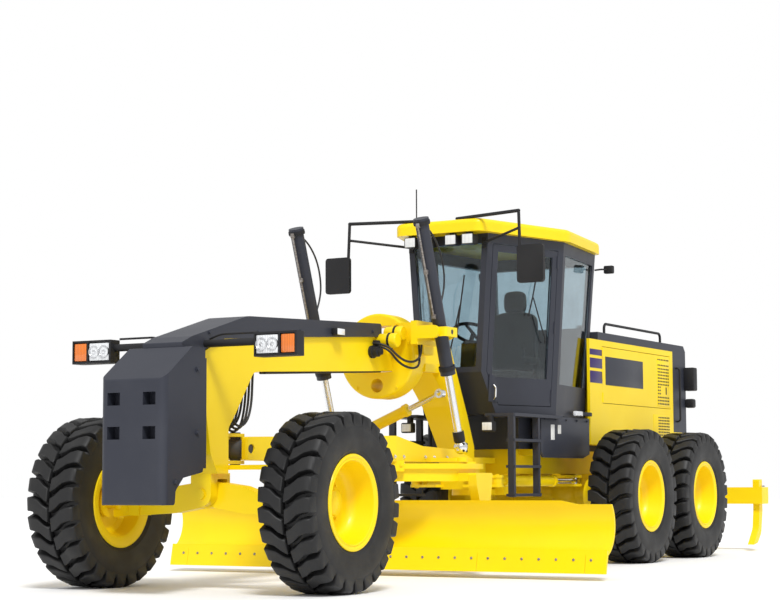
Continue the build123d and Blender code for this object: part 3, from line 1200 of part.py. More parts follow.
def ripper_frame():
    """Two arms and the transverse beam with its shank pockets and cylinder ears."""
    x, z = RIPPER_PIVOT
    beam_front = RIPPER_BEAM_X[1]
    # Rows: place along, height, corner radius
    arm = [
        (x + 55, z - 50, 30), (x + 55, z + 50, 30), (x, z + 60, 60), (beam_front - 40, RIPPER_BEAM_Z[1]),
        (beam_front - 40, RIPPER_BEAM_Z[0]), (x - 100, z - 70, 200),
    ]
    frame = both_sides(side_plate(arm, (350, 410)))
    frame += block(RIPPER_BEAM_X, (-RIPPER_HALF, RIPPER_HALF), RIPPER_BEAM_Z)
    ear = block((beam_front - 5, RIPPER_EYE_X), RIPPER_EAR, (RIPPER_EYE_Z - 40, RIPPER_EYE_Z + 40))
    frame += both_sides(ear + pin_y(RIPPER_EYE_X, RIPPER_EYE_Z, RIPPER_EAR, 40))
    for y in SHANK_PLACES:
        pocket_x = (shank_x() - GAP, shank_x() + SHANK_DEPTH + GAP)
        pocket_y = (y - SHANK_WIDTH / 2 - GAP, y + SHANK_WIDTH / 2 + GAP)
        frame -= block(pocket_x, pocket_y, (RIPPER_BEAM_Z[0] - 50, RIPPER_BEAM_Z[1] + 50))
    return frame - both_sides(pin_y(x, z, (300, 450), RIPPER_PIN_R + GAP))


def shank_x():
    """Rear face of the shanks' upper, straight part."""
    return RIPPER_BEAM_X[0] + 60


def ripper_shanks():
    """Three shanks that curve forward to their tips."""
    x = shank_x()
    low = RIPPER_BEAM_Z[0]
    high = RIPPER_BEAM_Z[1] + 90
    front = x + SHANK_DEPTH
    # Rows: place along, height, corner radius
    rows = [
        (x, high, 15), (front, high, 15), (front, low - 60, 60), (front + 40, 250, 120), (front + 220, 70),
        (front + 80, 90, 60), (x + 60, 200, 120), (x, low - 80, 80),
    ]
    shanks = [side_plate(rows, (y - SHANK_WIDTH / 2, y + SHANK_WIDTH / 2)) for y in SHANK_PLACES]
    return Compound(children=shanks)


SINGLE_PIECES = {
    "rear_frame": rear_frame,
    "tandem_axle": tandem_axle,
    "engine_block": engine_block,
    "hood_shell": hood_shell,
    "rear_enclosure": rear_enclosure,
    "cab_frame": cab_frame,
    "cab_roof": cab_roof,
    "cab_windows": cab_windows,
    "operator_seat": operator_seat,
    "steering_console": steering_console,
    "mirrors": mirrors,
    "roof_lamps": roof_lamps,
    "access_steps": access_steps,
    "ripper_frame": ripper_frame,
    "ripper_shanks": ripper_shanks,
    "ripper_cylinder": ripper_cylinder,
    "ripper_rod": ripper_rod,
    "front_frame": front_frame,
    "counterweight": counterweight,
    "frame_cover": frame_cover,
    "headlights": headlights,
    "lift_saddle": lift_saddle,
    "front_axle": front_axle,
    "lean_bar": lean_bar,
    "tie_rod_end": tie_rod_end,
    "tie_rod": tie_rod,
    "drawbar_ball": drawbar_ball,
    "drawbar": drawbar,
    "circle": circle,
    "blade_bracket": blade_bracket,
    "moldboard": moldboard,
    "centreshift_cylinder": centreshift_cylinder,
    "centreshift_rod": centreshift_rod,
}

PAIRED_PIECES = {
    "cab_door": cab_door,
    "door_glass": door_glass,
    "hood_door": hood_door,
    "lean_bracket": lean_bracket,
    "steering_knuckle": steering_knuckle,
    "lift_yoke": lift_yoke,
    "lift_cylinder": lift_cylinder,
    "lift_rod": lift_rod,
    "articulation_cylinder": articulation_cylinder,
    "articulation_rod": articulation_rod,
}

WHEEL_PLACES = {
    "wheel_front": AXLE_X,
    "wheel_tandem_front": TANDEM_X + TANDEM_SPREAD / 2,
    "wheel_tandem_rear": TANDEM_X - TANDEM_SPREAD / 2,
}


def main():
    """Write every piece to its own file."""
    os.makedirs("parts", exist_ok=True)
    pieces = {name: make() for name, make in SINGLE_PIECES.items()}
    for name, make in PAIRED_PIECES.items():
        left_piece = make()
        pieces[name + "_left"] = left_piece
        pieces[name + "_right"] = right(left_piece)
    for name, x in WHEEL_PLACES.items():
        pieces[name + "_left"] = wheel(x, 1)
        pieces[name + "_right"] = wheel(x, -1)
    for name, piece in pieces.items():
        export_step(piece, f"parts/{name}.step")
    print(len(pieces), "pieces")


main()
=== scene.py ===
import json
import math

import bpy
import bmesh
from mathutils import Matrix, Vector


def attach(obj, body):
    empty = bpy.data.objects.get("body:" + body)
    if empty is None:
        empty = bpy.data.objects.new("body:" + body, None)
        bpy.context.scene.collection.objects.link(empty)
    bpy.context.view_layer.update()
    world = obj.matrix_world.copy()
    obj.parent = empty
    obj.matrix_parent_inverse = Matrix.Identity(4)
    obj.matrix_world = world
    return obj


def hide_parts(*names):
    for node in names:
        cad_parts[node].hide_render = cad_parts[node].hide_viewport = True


# Motor grader: +X forward, +Y the driver's left, +Z up, in metres.

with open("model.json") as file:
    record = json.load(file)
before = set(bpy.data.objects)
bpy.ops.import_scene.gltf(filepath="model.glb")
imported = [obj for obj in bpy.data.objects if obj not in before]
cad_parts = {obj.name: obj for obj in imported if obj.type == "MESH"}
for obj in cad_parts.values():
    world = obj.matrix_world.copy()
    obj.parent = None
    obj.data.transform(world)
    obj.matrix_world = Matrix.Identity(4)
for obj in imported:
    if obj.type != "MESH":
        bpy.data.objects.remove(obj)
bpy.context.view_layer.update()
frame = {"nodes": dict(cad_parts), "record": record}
NODES = frame["nodes"]
SIDES = {"left": 1, "right": -1}
AXLE_X = 4.28
TANDEM_X = -2.215
TANDEM_REACH = 0.7625


# Materials

def new_material(name):
    """An empty node material with its shader, ready for colour and bump."""
    material = bpy.data.materials.new(name)
    material.use_nodes = True
    nodes = material.node_tree.nodes
    return material, nodes, material.node_tree.links, nodes["Principled BSDF"]


def noise(nodes, links, scale, detail=4, stretch=(1, 1, 1)):
    """A noise texture in the machine's own coordinates."""
    place = nodes.new("ShaderNodeTexCoord")
    mapping = nodes.new("ShaderNodeMapping")
    mapping.inputs["Scale"].default_value = stretch
    texture = nodes.new("ShaderNodeTexNoise")
    texture.inputs["Scale"].default_value = scale
    texture.inputs["Detail"].default_value = detail
    links.new(place.outputs["Object"], mapping.inputs["Vector"])
    links.new(mapping.outputs["Vector"], texture.inputs["Vector"])
    return texture


def ramp(nodes, links, source, low, high, place=(0.4, 0.6)):
    """A colour that runs from one to the other as the source rises."""
    stops = nodes.new("ShaderNodeValToRGB")
    stops.color_ramp.elements[0].position = place[0]
    stops.color_ramp.elements[1].position = place[1]
    stops.color_ramp.elements[0].color = (*low, 1)
    stops.color_ramp.elements[1].color = (*high, 1)
    links.new(source, stops.inputs["Fac"])
    return stops


def relief(nodes, links, shader, source, depth, strength=1.0):
    """Fine relief on a surface, in metres."""
    bump = nodes.new("ShaderNodeBump")
    bump.inputs["Distance"].default_value = depth
    bump.inputs["Strength"].default_value = strength
    links.new(source, bump.inputs["Height"])
    links.new(bump.outputs["Normal"], shader.inputs["Normal"])


def varied(nodes, links, shader, source, low, high):
    """Roughness that follows a texture."""
    spread = nodes.new("ShaderNodeMapRange")
    spread.inputs["From Min"].default_value = 0.3
    spread.inputs["From Max"].default_value = 0.7
    spread.inputs["To Min"].default_value = high
    spread.inputs["To Max"].default_value = low
    links.new(source, spread.inputs["Value"])
    links.new(spread.outputs["Result"], shader.inputs["Roughness"])


def painted(name, colour, faded, roughness=0.32, coat=0.25):
    """Machine paint: slight cloudiness, orange peel and a thin clear coat."""
    material, nodes, links, shader = new_material(name)
    cloud = noise(nodes, links, 1.9, 6)
    tone = ramp(nodes, links, cloud.outputs["Fac"], faded, colour, (0.3, 0.55))
    links.new(tone.outputs["Color"], shader.inputs["Base Color"])
    varied(nodes, links, shader, cloud.outputs["Fac"], roughness, roughness + 0.14)
    shader.inputs["Coat Weight"].default_value = coat
    shader.inputs["Coat Roughness"].default_value = 0.15
    shader.inputs["Specular IOR Level"].default_value = 0.3
    peel = noise(nodes, links, 240, 2)
    relief(nodes, links, shader, peel.outputs["Fac"], 0.0005, 0.2)
    return material


def rubber(name, colour, dusty, roughness=0.8):
    """Moulded rubber: dull, with fine grain and a little road dust in patches."""
    material, nodes, links, shader = new_material(name)
    patch = noise(nodes, links, 7, 8)
    tone = ramp(nodes, links, patch.outputs["Fac"], colour, dusty, (0.48, 0.75))
    links.new(tone.outputs["Color"], shader.inputs["Base Color"])
    varied(nodes, links, shader, patch.outputs["Fac"], roughness - 0.12, roughness)
    grain = noise(nodes, links, 420, 3)
    relief(nodes, links, shader, grain.outputs["Fac"], 0.0008, 0.45)
    return material


def bare_metal(name, colour, dull, roughness, scratch=(1, 1, 1), grain=90):
    """Metal with fine scratches that run one way."""
    material, nodes, links, shader = new_material(name)
    lines = noise(nodes, links, grain, 6, scratch)
    tone = ramp(nodes, links, lines.outputs["Fac"], dull, colour, (0.35, 0.65))
    links.new(tone.outputs["Color"], shader.inputs["Base Color"])
    varied(nodes, links, shader, lines.outputs["Fac"], roughness, roughness + 0.18)
    shader.inputs["Metallic"].default_value = 1
    relief(nodes, links, shader, lines.outputs["Fac"], 0.0003, 0.25)
    return material


def woven(name, thread, gap_shade):
    """Seat cloth: crossed threads with a soft sheen and painted shade in the gaps between them."""
    material, nodes, links, shader = new_material(name)
    warp = noise(nodes, links, 500, 1, (1, 0.15, 1))
    weft = noise(nodes, links, 500, 1, (0.15, 1, 1))
    cross = nodes.new("ShaderNodeMath")
    cross.operation = "MULTIPLY"
    links.new(warp.outputs["Fac"], cross.inputs[0])
    links.new(weft.outputs["Fac"], cross.inputs[1])
    # The darker colour is painted shade in the gaps between the threads, where the bump is lowest.
    tone = ramp(nodes, links, cross.outputs["Value"], gap_shade, thread, (0.15, 0.4))
    links.new(tone.outputs["Color"], shader.inputs["Base Color"])
    shader.inputs["Roughness"].default_value = 0.9
    shader.inputs["Sheen Weight"].default_value = 0.3
    relief(nodes, links, shader, cross.outputs["Value"], 0.001, 0.6)
    return material


def clear_glass(name, tint, roughness=0.03):
    """Tinted glass that lets the inside show, a little uneven as rolled glass is."""
    material, nodes, links, shader = new_material(name)
    wave = noise(nodes, links, 3, 2)
    tone = ramp(nodes, links, wave.outputs["Fac"], tint, [value * 0.92 for value in tint])
    links.new(tone.outputs["Color"], shader.inputs["Base Color"])
    shader.inputs["Roughness"].default_value = roughness
    shader.inputs["IOR"].default_value = 1.45
    shader.inputs["Transmission Weight"].default_value = 1
    return material


def lens(name, colour):
    """Ribbed lamp lens, with painted shade in the grooves between the ribs."""
    material, nodes, links, shader = new_material(name)
    ribs = nodes.new("ShaderNodeTexWave")
    ribs.bands_direction = "Y"
    ribs.inputs["Scale"].default_value = 22
    place = nodes.new("ShaderNodeTexCoord")
    links.new(place.outputs["Object"], ribs.inputs["Vector"])
    # The lens colour drops to 72 % in the grooves between the ribs: painted shade.
    tone = ramp(nodes, links, ribs.outputs["Fac"], [value * 0.72 for value in colour], colour, (0.2, 0.8))
    links.new(tone.outputs["Color"], shader.inputs["Base Color"])
    shader.inputs["Roughness"].default_value = 0.12
    shader.inputs["Coat Weight"].default_value = 0.8
    relief(nodes, links, shader, ribs.outputs["Fac"], 0.002, 0.5)
    return material


MATERIALS = {
    "yellow_paint": painted("machine yellow", (0.94, 0.68, 0.002), (0.90, 0.64, 0.003), 0.36, 0.12),
    "dark_paint": painted("dark grey paint", (0.028, 0.031, 0.044), (0.036, 0.039, 0.052), 0.42, 0.1),
    "black_plastic": painted("black plastic", (0.014, 0.014, 0.016), (0.022, 0.022, 0.024), 0.5, 0),
    "tyre": rubber("tyre rubber", (0.005, 0.005, 0.0055), (0.012, 0.0115, 0.011), 0.62),
    "cast_steel": painted("cast steel", (0.06, 0.06, 0.065), (0.09, 0.088, 0.085), 0.6, 0),
    "worn_steel": bare_metal("worn steel", (0.42, 0.40, 0.38), (0.22, 0.19, 0.17), 0.42, (1, 0.1, 1)),
    "chrome_rod": bare_metal("chrome rod", (0.82, 0.83, 0.85), (0.72, 0.73, 0.75), 0.1, (1, 1, 0.05), 160),
    # The seat fabric's second colour is painted shade in the gaps between its threads.
    "seat_fabric": woven("seat fabric", (0.06, 0.06, 0.065), (0.015, 0.015, 0.018)),
    "tinted_glass": clear_glass("tinted glass", (0.52, 0.63, 0.68)),
}
LAMP_CLEAR = lens("clear lamp lens", (0.86, 0.88, 0.9))
LAMP_AMBER = lens("amber lamp lens", (0.85, 0.20, 0.01))
LAMP_RED = lens("red lamp lens", (0.55, 0.01, 0.008))
HOSE_RUBBER = rubber("hose rubber", (0.012, 0.012, 0.013), (0.02, 0.02, 0.021), 0.6)
PLATE_WHITE = painted("blank white plate", (0.75, 0.75, 0.74), (0.68, 0.68, 0.66), 0.4, 0.2)
STRIPE_BLUE = painted("dark stripe", (0.024, 0.008, 0.105), (0.030, 0.012, 0.12), 0.35, 0.2)
MIRROR_FACE = bare_metal("mirror face", (0.9, 0.9, 0.92), (0.86, 0.87, 0.9), 0.03)

SLOTS = {part["node"]: part["material_slot"] for part in frame["record"]["subparts"]}
for name, node in NODES.items():
    node.data.materials.clear()
    node.data.materials.append(MATERIALS[SLOTS[name]])


# Ways of making a piece

def select_only(piece=None):
    """Leave edit mode, with one piece selected or none."""
    if bpy.context.object and bpy.context.object.mode != "OBJECT":
        bpy.ops.object.mode_set(mode="OBJECT")
    bpy.ops.object.select_all(action="DESELECT")
    if piece:
        piece.select_set(True)
        bpy.context.view_layer.objects.active = piece


def edit(piece, kind="FACE", everything=False):
    """Open a piece in edit mode, with nothing or everything picked."""
    select_only(piece)
    bpy.ops.object.mode_set(mode="EDIT")
    bpy.ops.mesh.select_mode(type=kind)
    bpy.ops.mesh.select_all(action="SELECT" if everything else "DESELECT")


def pick(piece, test):
    """Pick the faces whose centre and normal pass a test."""
    bpy.ops.mesh.select_all(action="DESELECT")
    shape = bmesh.from_edit_mesh(piece.data)
    for face in shape.faces:
        if test(face.calc_center_median(), face.normal):
            face.select_set(True)
    bmesh.update_edit_mesh(piece.data)


def move_corners(piece, test, move):
    """Slide the corners that pass a test."""
    edit(piece, "VERT")
    shape = bmesh.from_edit_mesh(piece.data)
    for corner in shape.verts:
        if test(corner.co):
            corner.select_set(True)
    bmesh.update_edit_mesh(piece.data)
    bpy.ops.transform.translate(value=move)
    select_only(piece)


def modify(piece, kind, **settings):
    """Put a modifier on a piece and apply it."""
    select_only(piece)
    modifier = piece.modifiers.new(kind.lower(), kind)
    for name, value in settings.items():
        setattr(modifier, name, value)
    bpy.ops.object.modifier_apply(modifier=modifier.name)
    return piece


def settle(piece):
    """Bring a piece's place, turn and scale into its mesh."""
    select_only(piece)
    bpy.ops.object.transform_apply(location=True, rotation=True, scale=True)
    return piece


def keep(piece, name, material, body, angle=35):
    """Give a finished piece its shading, name, material and body."""
    settle(piece)
    bpy.ops.object.shade_smooth_by_angle(angle=math.radians(angle))
    piece.name = name
    piece.data.name = name
    piece.data.materials.clear()
    piece.data.materials.append(material)
    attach(piece, body)
    return piece


def joined(pieces):
    """Several meshes made into one."""
    select_only(pieces[0])
    for piece in pieces[1:]:
        piece.select_set(True)
    bpy.ops.object.join()
    return bpy.context.object


def copied(piece, matrix):
    """A copy with its own mesh, moved by a matrix, its faces still outward."""
    copy = bpy.data.objects.new(piece.name, piece.data.copy())
    bpy.context.scene.collection.objects.link(copy)
    copy.data.transform(matrix)
    if matrix.determinant() < 0:
        copy.data.flip_normals()
    return copy


def mirrored(piece):
    """The same piece on the machine's other side."""
    return copied(piece, Matrix.Scale(-1, 4, (0, 1, 0)))


def slab(low, high, edge=0.004, segments=2):
    """A bar between two corners with softened edges."""
    select_only()
    middle = [(a + b) / 2 for a, b in zip(low, high)]
    size = [b - a for a, b in zip(low, high)]
    bpy.ops.mesh.primitive_cube_add(size=1, location=middle, scale=size)
    piece = settle(bpy.context.object)
    return modify(piece, "BEVEL", width=min(edge, min(size) * 0.45), segments=segments)


def chain(points):
    """A line of corners, drawn out from one."""
    select_only()
    bpy.ops.mesh.primitive_plane_add(size=0.001, location=(0, 0, 0))
    piece = bpy.context.object
    edit(piece, "VERT", True)
    bpy.ops.mesh.merge(type="CENTER")
    bpy.ops.transform.translate(value=points[0])
    for before, after in zip(points, points[1:]):
        step = [b - a for a, b in zip(before, after)]
        bpy.ops.mesh.extrude_region_move(TRANSFORM_OT_translate={"value": step})
    return piece


def facing(direction):
    """The turn that brings upward round to a direction."""
    return Vector(direction).to_track_quat("Z", "Y").to_matrix().to_4x4()


def turned(rows, place, axis=(0, 1, 0), steps=40):
    """A solid turned about an axis through a place, from rows of (along, radius)."""
    piece = chain([(radius, 0, along) for along, radius in rows])
    edit(piece, "VERT", True)
    bpy.ops.mesh.spin(steps=steps, angle=math.tau, center=(0, 0, 0), axis=(0, 0, 1), use_auto_merge=True)
    bpy.ops.mesh.select_all(action="SELECT")
    bpy.ops.mesh.remove_doubles(threshold=0.00001)
    bpy.ops.mesh.normals_make_consistent(inside=False)
    select_only(piece)
    piece.matrix_world = Matrix.Translation(place) @ facing(axis)
    return settle(piece)


def plate(points, thickness, edge):
    """A plate from its outline, thickened by a vector, with softened edges."""
    piece = chain(points)
    edit(piece, "VERT", True)
    bpy.ops.mesh.edge_face_add()
    bpy.ops.mesh.select_mode(type="FACE")
    bpy.ops.mesh.select_all(action="SELECT")
    bpy.ops.mesh.extrude_region_move(TRANSFORM_OT_translate={"value": thickness})
    bpy.ops.mesh.select_all(action="SELECT")
    bpy.ops.mesh.normals_make_consistent(inside=False)
    return modify(piece, "BEVEL", width=edge, segments=2, limit_method="ANGLE")


def tube(points, radius, bend=0.06, sides=4):
    """A round tube along points, rounded where it turns."""
    piece = chain(points)
    if len(points) > 2:
        edit(piece, "VERT")
        shape = bmesh.from_edit_mesh(piece.data)
        for corner in shape.verts:
            if len(corner.link_edges) == 2:
                corner.select_set(True)
        bmesh.update_edit_mesh(piece.data)
        bpy.ops.mesh.bevel(offset=bend, segments=5, affect="VERTICES")
    select_only(piece)
    bpy.ops.object.convert(target="CURVE")
    line = bpy.context.object
    line.data.bevel_depth = radius
    line.data.bevel_resolution = sides
    line.data.use_fill_caps = True
    bpy.ops.object.convert(target="MESH")
    return bpy.context.object


def bolt_head(size):
    """A hexagon head on its washer, pointing up at the origin."""
    select_only()
    bpy.ops.mesh.primitive_cylinder_add(vertices=6, radius=size, depth=size, location=(0, 0, size * 0.6))
    head = settle(bpy.context.object)
    modify(head, "BEVEL", width=size * 0.12, segments=1)
    rows = [(0, 0), (0, size * 1.5), (size * 0.2, size * 1.5), (size * 0.25, 0)]
    washer = turned(rows, (0, 0, 0), (0, 0, 1), 16)
    return joined([head, washer])


def bolts(name, places, direction, size, body, material):
    """A set of bolt heads that point one way."""
    pattern = bolt_head(size)
    turn = facing(direction)
    heads = [copied(pattern, Matrix.Translation(place) @ turn) for place in places]
    bpy.data.objects.remove(pattern)
    return keep(joined(heads), name, material, body)


YELLOW = MATERIALS["yellow_paint"]
DARK = MATERIALS["dark_paint"]
BLACK = MATERIALS["black_plastic"]
STEEL = MATERIALS["worn_steel"]
CHROME = MATERIALS["chrome_rod"]


# Wheels

WHEELS = {
    "wheel_front": AXLE_X,
    "wheel_tandem_front": TANDEM_X + TANDEM_REACH,
    "wheel_tandem_rear": TANDEM_X - TANDEM_REACH,
}
HALF_TRACK = 1.03
TYRE_R = 0.65
LUGS = 27
LUG_SWEEP = 0.055
WHEEL_NUTS = 12
NUT_CIRCLE_R = 0.136
# How far each axle's wheels stand turned past those of the axle before
AXLE_TURN = 0.09


def tyre_casing():
    """Carcass without its tread: beads, bulged side walls and the crown under the lugs."""
    # Rows: across, radius
    half = [
        (0.170, 0.318), (0.184, 0.345), (0.196, 0.366), (0.199, 0.372), (0.205, 0.378), (0.214, 0.430),
        (0.220, 0.480), (0.219, 0.525), (0.213, 0.556), (0.204, 0.576), (0.186, 0.588), (0.150, 0.594),
        (0.075, 0.598),
    ]
    rows = half + [(0, 0.599)] + [(-across, radius) for across, radius in reversed(half)]
    return turned(rows + [rows[0]], (0, 0, 0), (0, 1, 0), 92)


def tread_lug():
    """One traction bar, from the middle of the crown out over the shoulder, swept back and tapered."""
    select_only()
    bpy.ops.mesh.primitive_cube_add(size=1, location=(0, 0.113, 0.6165), scale=(0.118, 0.208, 0.065))
    lug = settle(bpy.context.object)
    for across in (0.055, 0.11, 0.17, 0.198):
        edit(lug, "FACE", True)
        bpy.ops.mesh.bisect(plane_co=(0, across, 0), plane_no=(0, 1, 0))
    edit(lug, "FACE")
    pick(lug, lambda centre, normal: normal.z > 0.9)
    bpy.ops.transform.resize(value=(0.86, 0.99, 1))
    select_only(lug)
    # Rows: columns beyond this place across, how far they move along, and the drop of their top
    columns = (
        (-1, LUG_SWEEP, 0), (0.04, -0.4 * LUG_SWEEP, 0), (0.09, -0.8 * LUG_SWEEP, 0),
        (0.15, -0.3 * LUG_SWEEP, 0), (0.19, 0, -0.009), (0.21, 0, -0.014),
    )
    for across, along, drop in columns:
        move_corners(lug, lambda corner: corner.y > across, (along, 0, 0))
        if drop:
            move_corners(lug, lambda corner: corner.y > across and corner.z > 0.62, (0, 0, drop))
    move_corners(lug, lambda corner: corner.y > 0.19 and corner.z < 0.61, (0, -0.001, -0.045))
    return modify(lug, "BEVEL", width=0.006, segments=1, limit_method="ANGLE")


def tyre():
    """Casing with two staggered rows of lugs."""
    lug = tread_lug()
    pieces = [tyre_casing()]
    for number in range(LUGS):
        for side in (1, -1):
            turn = math.tau * (number + (0.5 if side < 0 else 0)) / LUGS
            flip = Matrix.Scale(side, 4, (0, 1, 0))
            pieces.append(copied(lug, Matrix.Rotation(turn, 4, "Y") @ flip))
    bpy.data.objects.remove(lug)
    return joined(pieces)


def rim():
    """Deep dished rim with its flanges, lock ring, hub and nuts."""
    # Rows: across, radius
    rows = [
        (-0.035, 0), (-0.035, 0.20), (-0.06, 0.235), (-0.172, 0.262), (-0.190, 0.292), (-0.196, 0.340),
        (-0.190, 0.349), (-0.184, 0.343), (-0.176, 0.319), (-0.10, 0.305), (0.10, 0.305), (0.176, 0.319),
        (0.184, 0.343), (0.190, 0.349), (0.196, 0.345), (0.197, 0.331), (0.190, 0.322), (0.187, 0.312),
        (0.192, 0.306), (0.186, 0.299), (0.168, 0.295), (0.06, 0.284), (0.012, 0.268), (-0.006, 0.248),
        (-0.010, 0.225), (-0.010, 0.192), (-0.004, 0.176), (-0.004, 0.098), (0.040, 0.092), (0.048, 0.082),
        (0.050, 0.060), (0.056, 0.050), (0.056, 0),
    ]
    dish = turned(rows, (0, 0, 0), (0, 1, 0), 72)
    nut = bolt_head(0.0125)
    nuts = []
    for number in range(WHEEL_NUTS):
        turn = Matrix.Rotation(math.tau * number / WHEEL_NUTS, 4, "Y")
        nuts.append(copied(nut, turn @ Matrix.Translation((NUT_CIRCLE_R, -0.004, 0)) @ facing((0, 1, 0))))
    bpy.data.objects.remove(nut)
    valve = tube([(0.262, 0.02, 0), (0.255, 0.07, 0), (0.268, 0.10, 0)], 0.005, 0.015, 2)
    return joined([dish, valve] + nuts)


def wheels():
    """The tyre and rim copied to the six hubs."""
    tyre_pattern = tyre()
    rim_pattern = rim()
    for number, (node, x) in enumerate(WHEELS.items()):
        for name, side in SIDES.items():
            place = Matrix.Translation((x, side * HALF_TRACK, TYRE_R)) @ Matrix.Scale(side, 4, (0, 1, 0))
            place = place @ Matrix.Rotation(AXLE_TURN * number, 4, "Y")
            body = f"{node}_{name}"
            wheel = body.removeprefix("wheel_")
            rubber_piece = copied(tyre_pattern, place)
            keep(rubber_piece, f"tyre_{wheel}", MATERIALS["tyre"], body)
            keep(copied(rim_pattern, place), f"rim_{wheel}", YELLOW, body)
            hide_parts(body)
    bpy.data.objects.remove(tyre_pattern)
    bpy.data.objects.remove(rim_pattern)


wheels()


# Shared places

def at(x, y, z):
    """A place measured from the front axle."""
    return (AXLE_X + x, y, z)


def block_at(low, high, edge=0.004):
    """A softened bar between two places measured from the front axle."""
    return slab(at(*low), at(*high), edge)


def on_side(piece, side):
    """The piece itself on the left, or its mirror image on the right."""
    if side > 0:
        return piece
    copy = mirrored(piece)
    bpy.data.objects.remove(piece)
    return copy


def side_block(low, high, edge, side):
    """A softened bar on one side of the machine, from its places on the left."""
    return on_side(block_at(low, high, edge), side)


def hose(name, points, radius, body):
    """A rubber hose on one smooth line through its control points."""
    data = bpy.data.curves.new(name, "CURVE")
    data.dimensions = "3D"
    line = data.splines.new("NURBS")
    line.points.add(len(points) - 1)
    for point, place in zip(line.points, points):
        point.co = (*at(*place), 1)
    line.order_u = 3
    line.use_endpoint_u = True
    line.resolution_u = 8
    bare = bpy.data.objects.new(name, data)
    bpy.context.scene.collection.objects.link(bare)
    bpy.context.view_layer.update()
    centre = bpy.data.meshes.new_from_object(bare.evaluated_get(bpy.context.evaluated_depsgraph_get()))
    bpy.data.meshes.remove(centre)
    data.bevel_depth = radius
    data.bevel_resolution = 3
    data.use_fill_caps = True
    data.materials.append(HOSE_RUBBER)
    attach(bare, body)
    return bare


# Front end

def headlights():
    """Clear and amber lenses, reflector rims and a bulb cap each, in both lamp housings."""
    for name, side in SIDES.items():
        clear = side_block((0.396, 0.660, 1.710), (0.416, 0.845, 1.845), 0.012, side)
        keep(clear, f"headlight_lens_{name}", LAMP_CLEAR, "front_frame")
        amber = side_block((0.396, 0.870, 1.710), (0.417, 0.985, 1.845), 0.012, side)
        keep(amber, f"turn_lamp_lens_{name}", LAMP_AMBER, "front_frame")
        rims = []
        for y in (0.706, 0.798):
            rows = [(0, 0.030), (0.003, 0.034), (0.002, 0.040), (0.009, 0.043), (0.009, 0.047), (0, 0.049)]
            rims.append(on_side(turned(rows, at(0.4145, y, 1.778), (1, 0, 0), 28), side))
            bulb = [(0, 0.016), (0.008, 0.014), (0.011, 0.006), (0.012, 0)]
            rims.append(on_side(turned(bulb, at(0.4145, y, 1.778), (1, 0, 0), 20), side))
        keep(joined(rims), f"headlight_rims_{name}", CHROME, "front_frame")
        pipe = tube([at(0.33, 0.20, 1.84), at(0.33, 0.30, 1.872), at(0.33, 0.62, 1.872)], 0.008, 0.03)
        pipe = on_side(pipe, side)
        keep(pipe, f"headlight_cable_pipe_{name}", BLACK, "front_frame")


COVER_BEND_X = -0.97


def cover_edge(x):
    """Height of the dark cover's lower edge, which rises to the rear in two slopes."""
    if x < COVER_BEND_X:
        return 1.941 + (COVER_BEND_X - x) * 0.0665
    return 1.86 + (0.1 - x) * 0.0757


def cover_bolts():
    """Bolts along both edges of the dark cover and on the counterweight's shoulder."""
    for name, side in SIDES.items():
        spots = [at(x, side * 0.175, cover_edge(x) + 0.045) for x in (0.30, -0.35, -0.95, -1.55, -2.10)]
        bolts(f"cover_bolts_{name}", spots, (0, side, 0), 0.011, "front_frame", DARK)
    for name, side in SIDES.items():
        spots = [at(x, 0.282 * side, z) for x, z in ((0.60, 1.60), (0.60, 1.15), (0.86, 0.80))]
        bolts(f"weight_bolts_{name}", spots, (0, side, 0), 0.014, "front_frame", DARK)


def beam_lamp():
    """Small work lamp on the beam's side, just under the cover."""
    for name, side in SIDES.items():
        shell = side_block((-1.54, 0.176, 1.985), (-1.42, 0.235, 2.045), 0.012, side)
        keep(shell, f"beam_lamp_{name}", BLACK, "front_frame")
        face = side_block((-1.535, 0.228, 1.990), (-1.425, 0.2385, 2.040), 0.006, side)
        keep(face, f"beam_lamp_lens_{name}", LAMP_CLEAR, "front_frame")


SADDLE_BOLTS_R = 0.335
SADDLE_HOSES = {
    "saddle_hose_a": [
        (-2.12, 0.162, 1.965), (-2.13, 0.290, 1.955), (-2.22, 0.37, 1.83), (-2.33, 0.42, 1.80),
        (-2.42, 0.45, 1.84), (-2.44, 0.46, 1.93), (-2.44, 0.455, 1.99),
    ],
    "saddle_hose_b": [
        (-2.17, 0.162, 1.945), (-2.18, 0.27, 1.93), (-2.24, 0.34, 1.80), (-2.33, 0.41, 1.75),
        (-2.42, 0.44, 1.77), (-2.46, 0.43, 1.86), (-2.46, 0.420, 1.965),
    ],
}


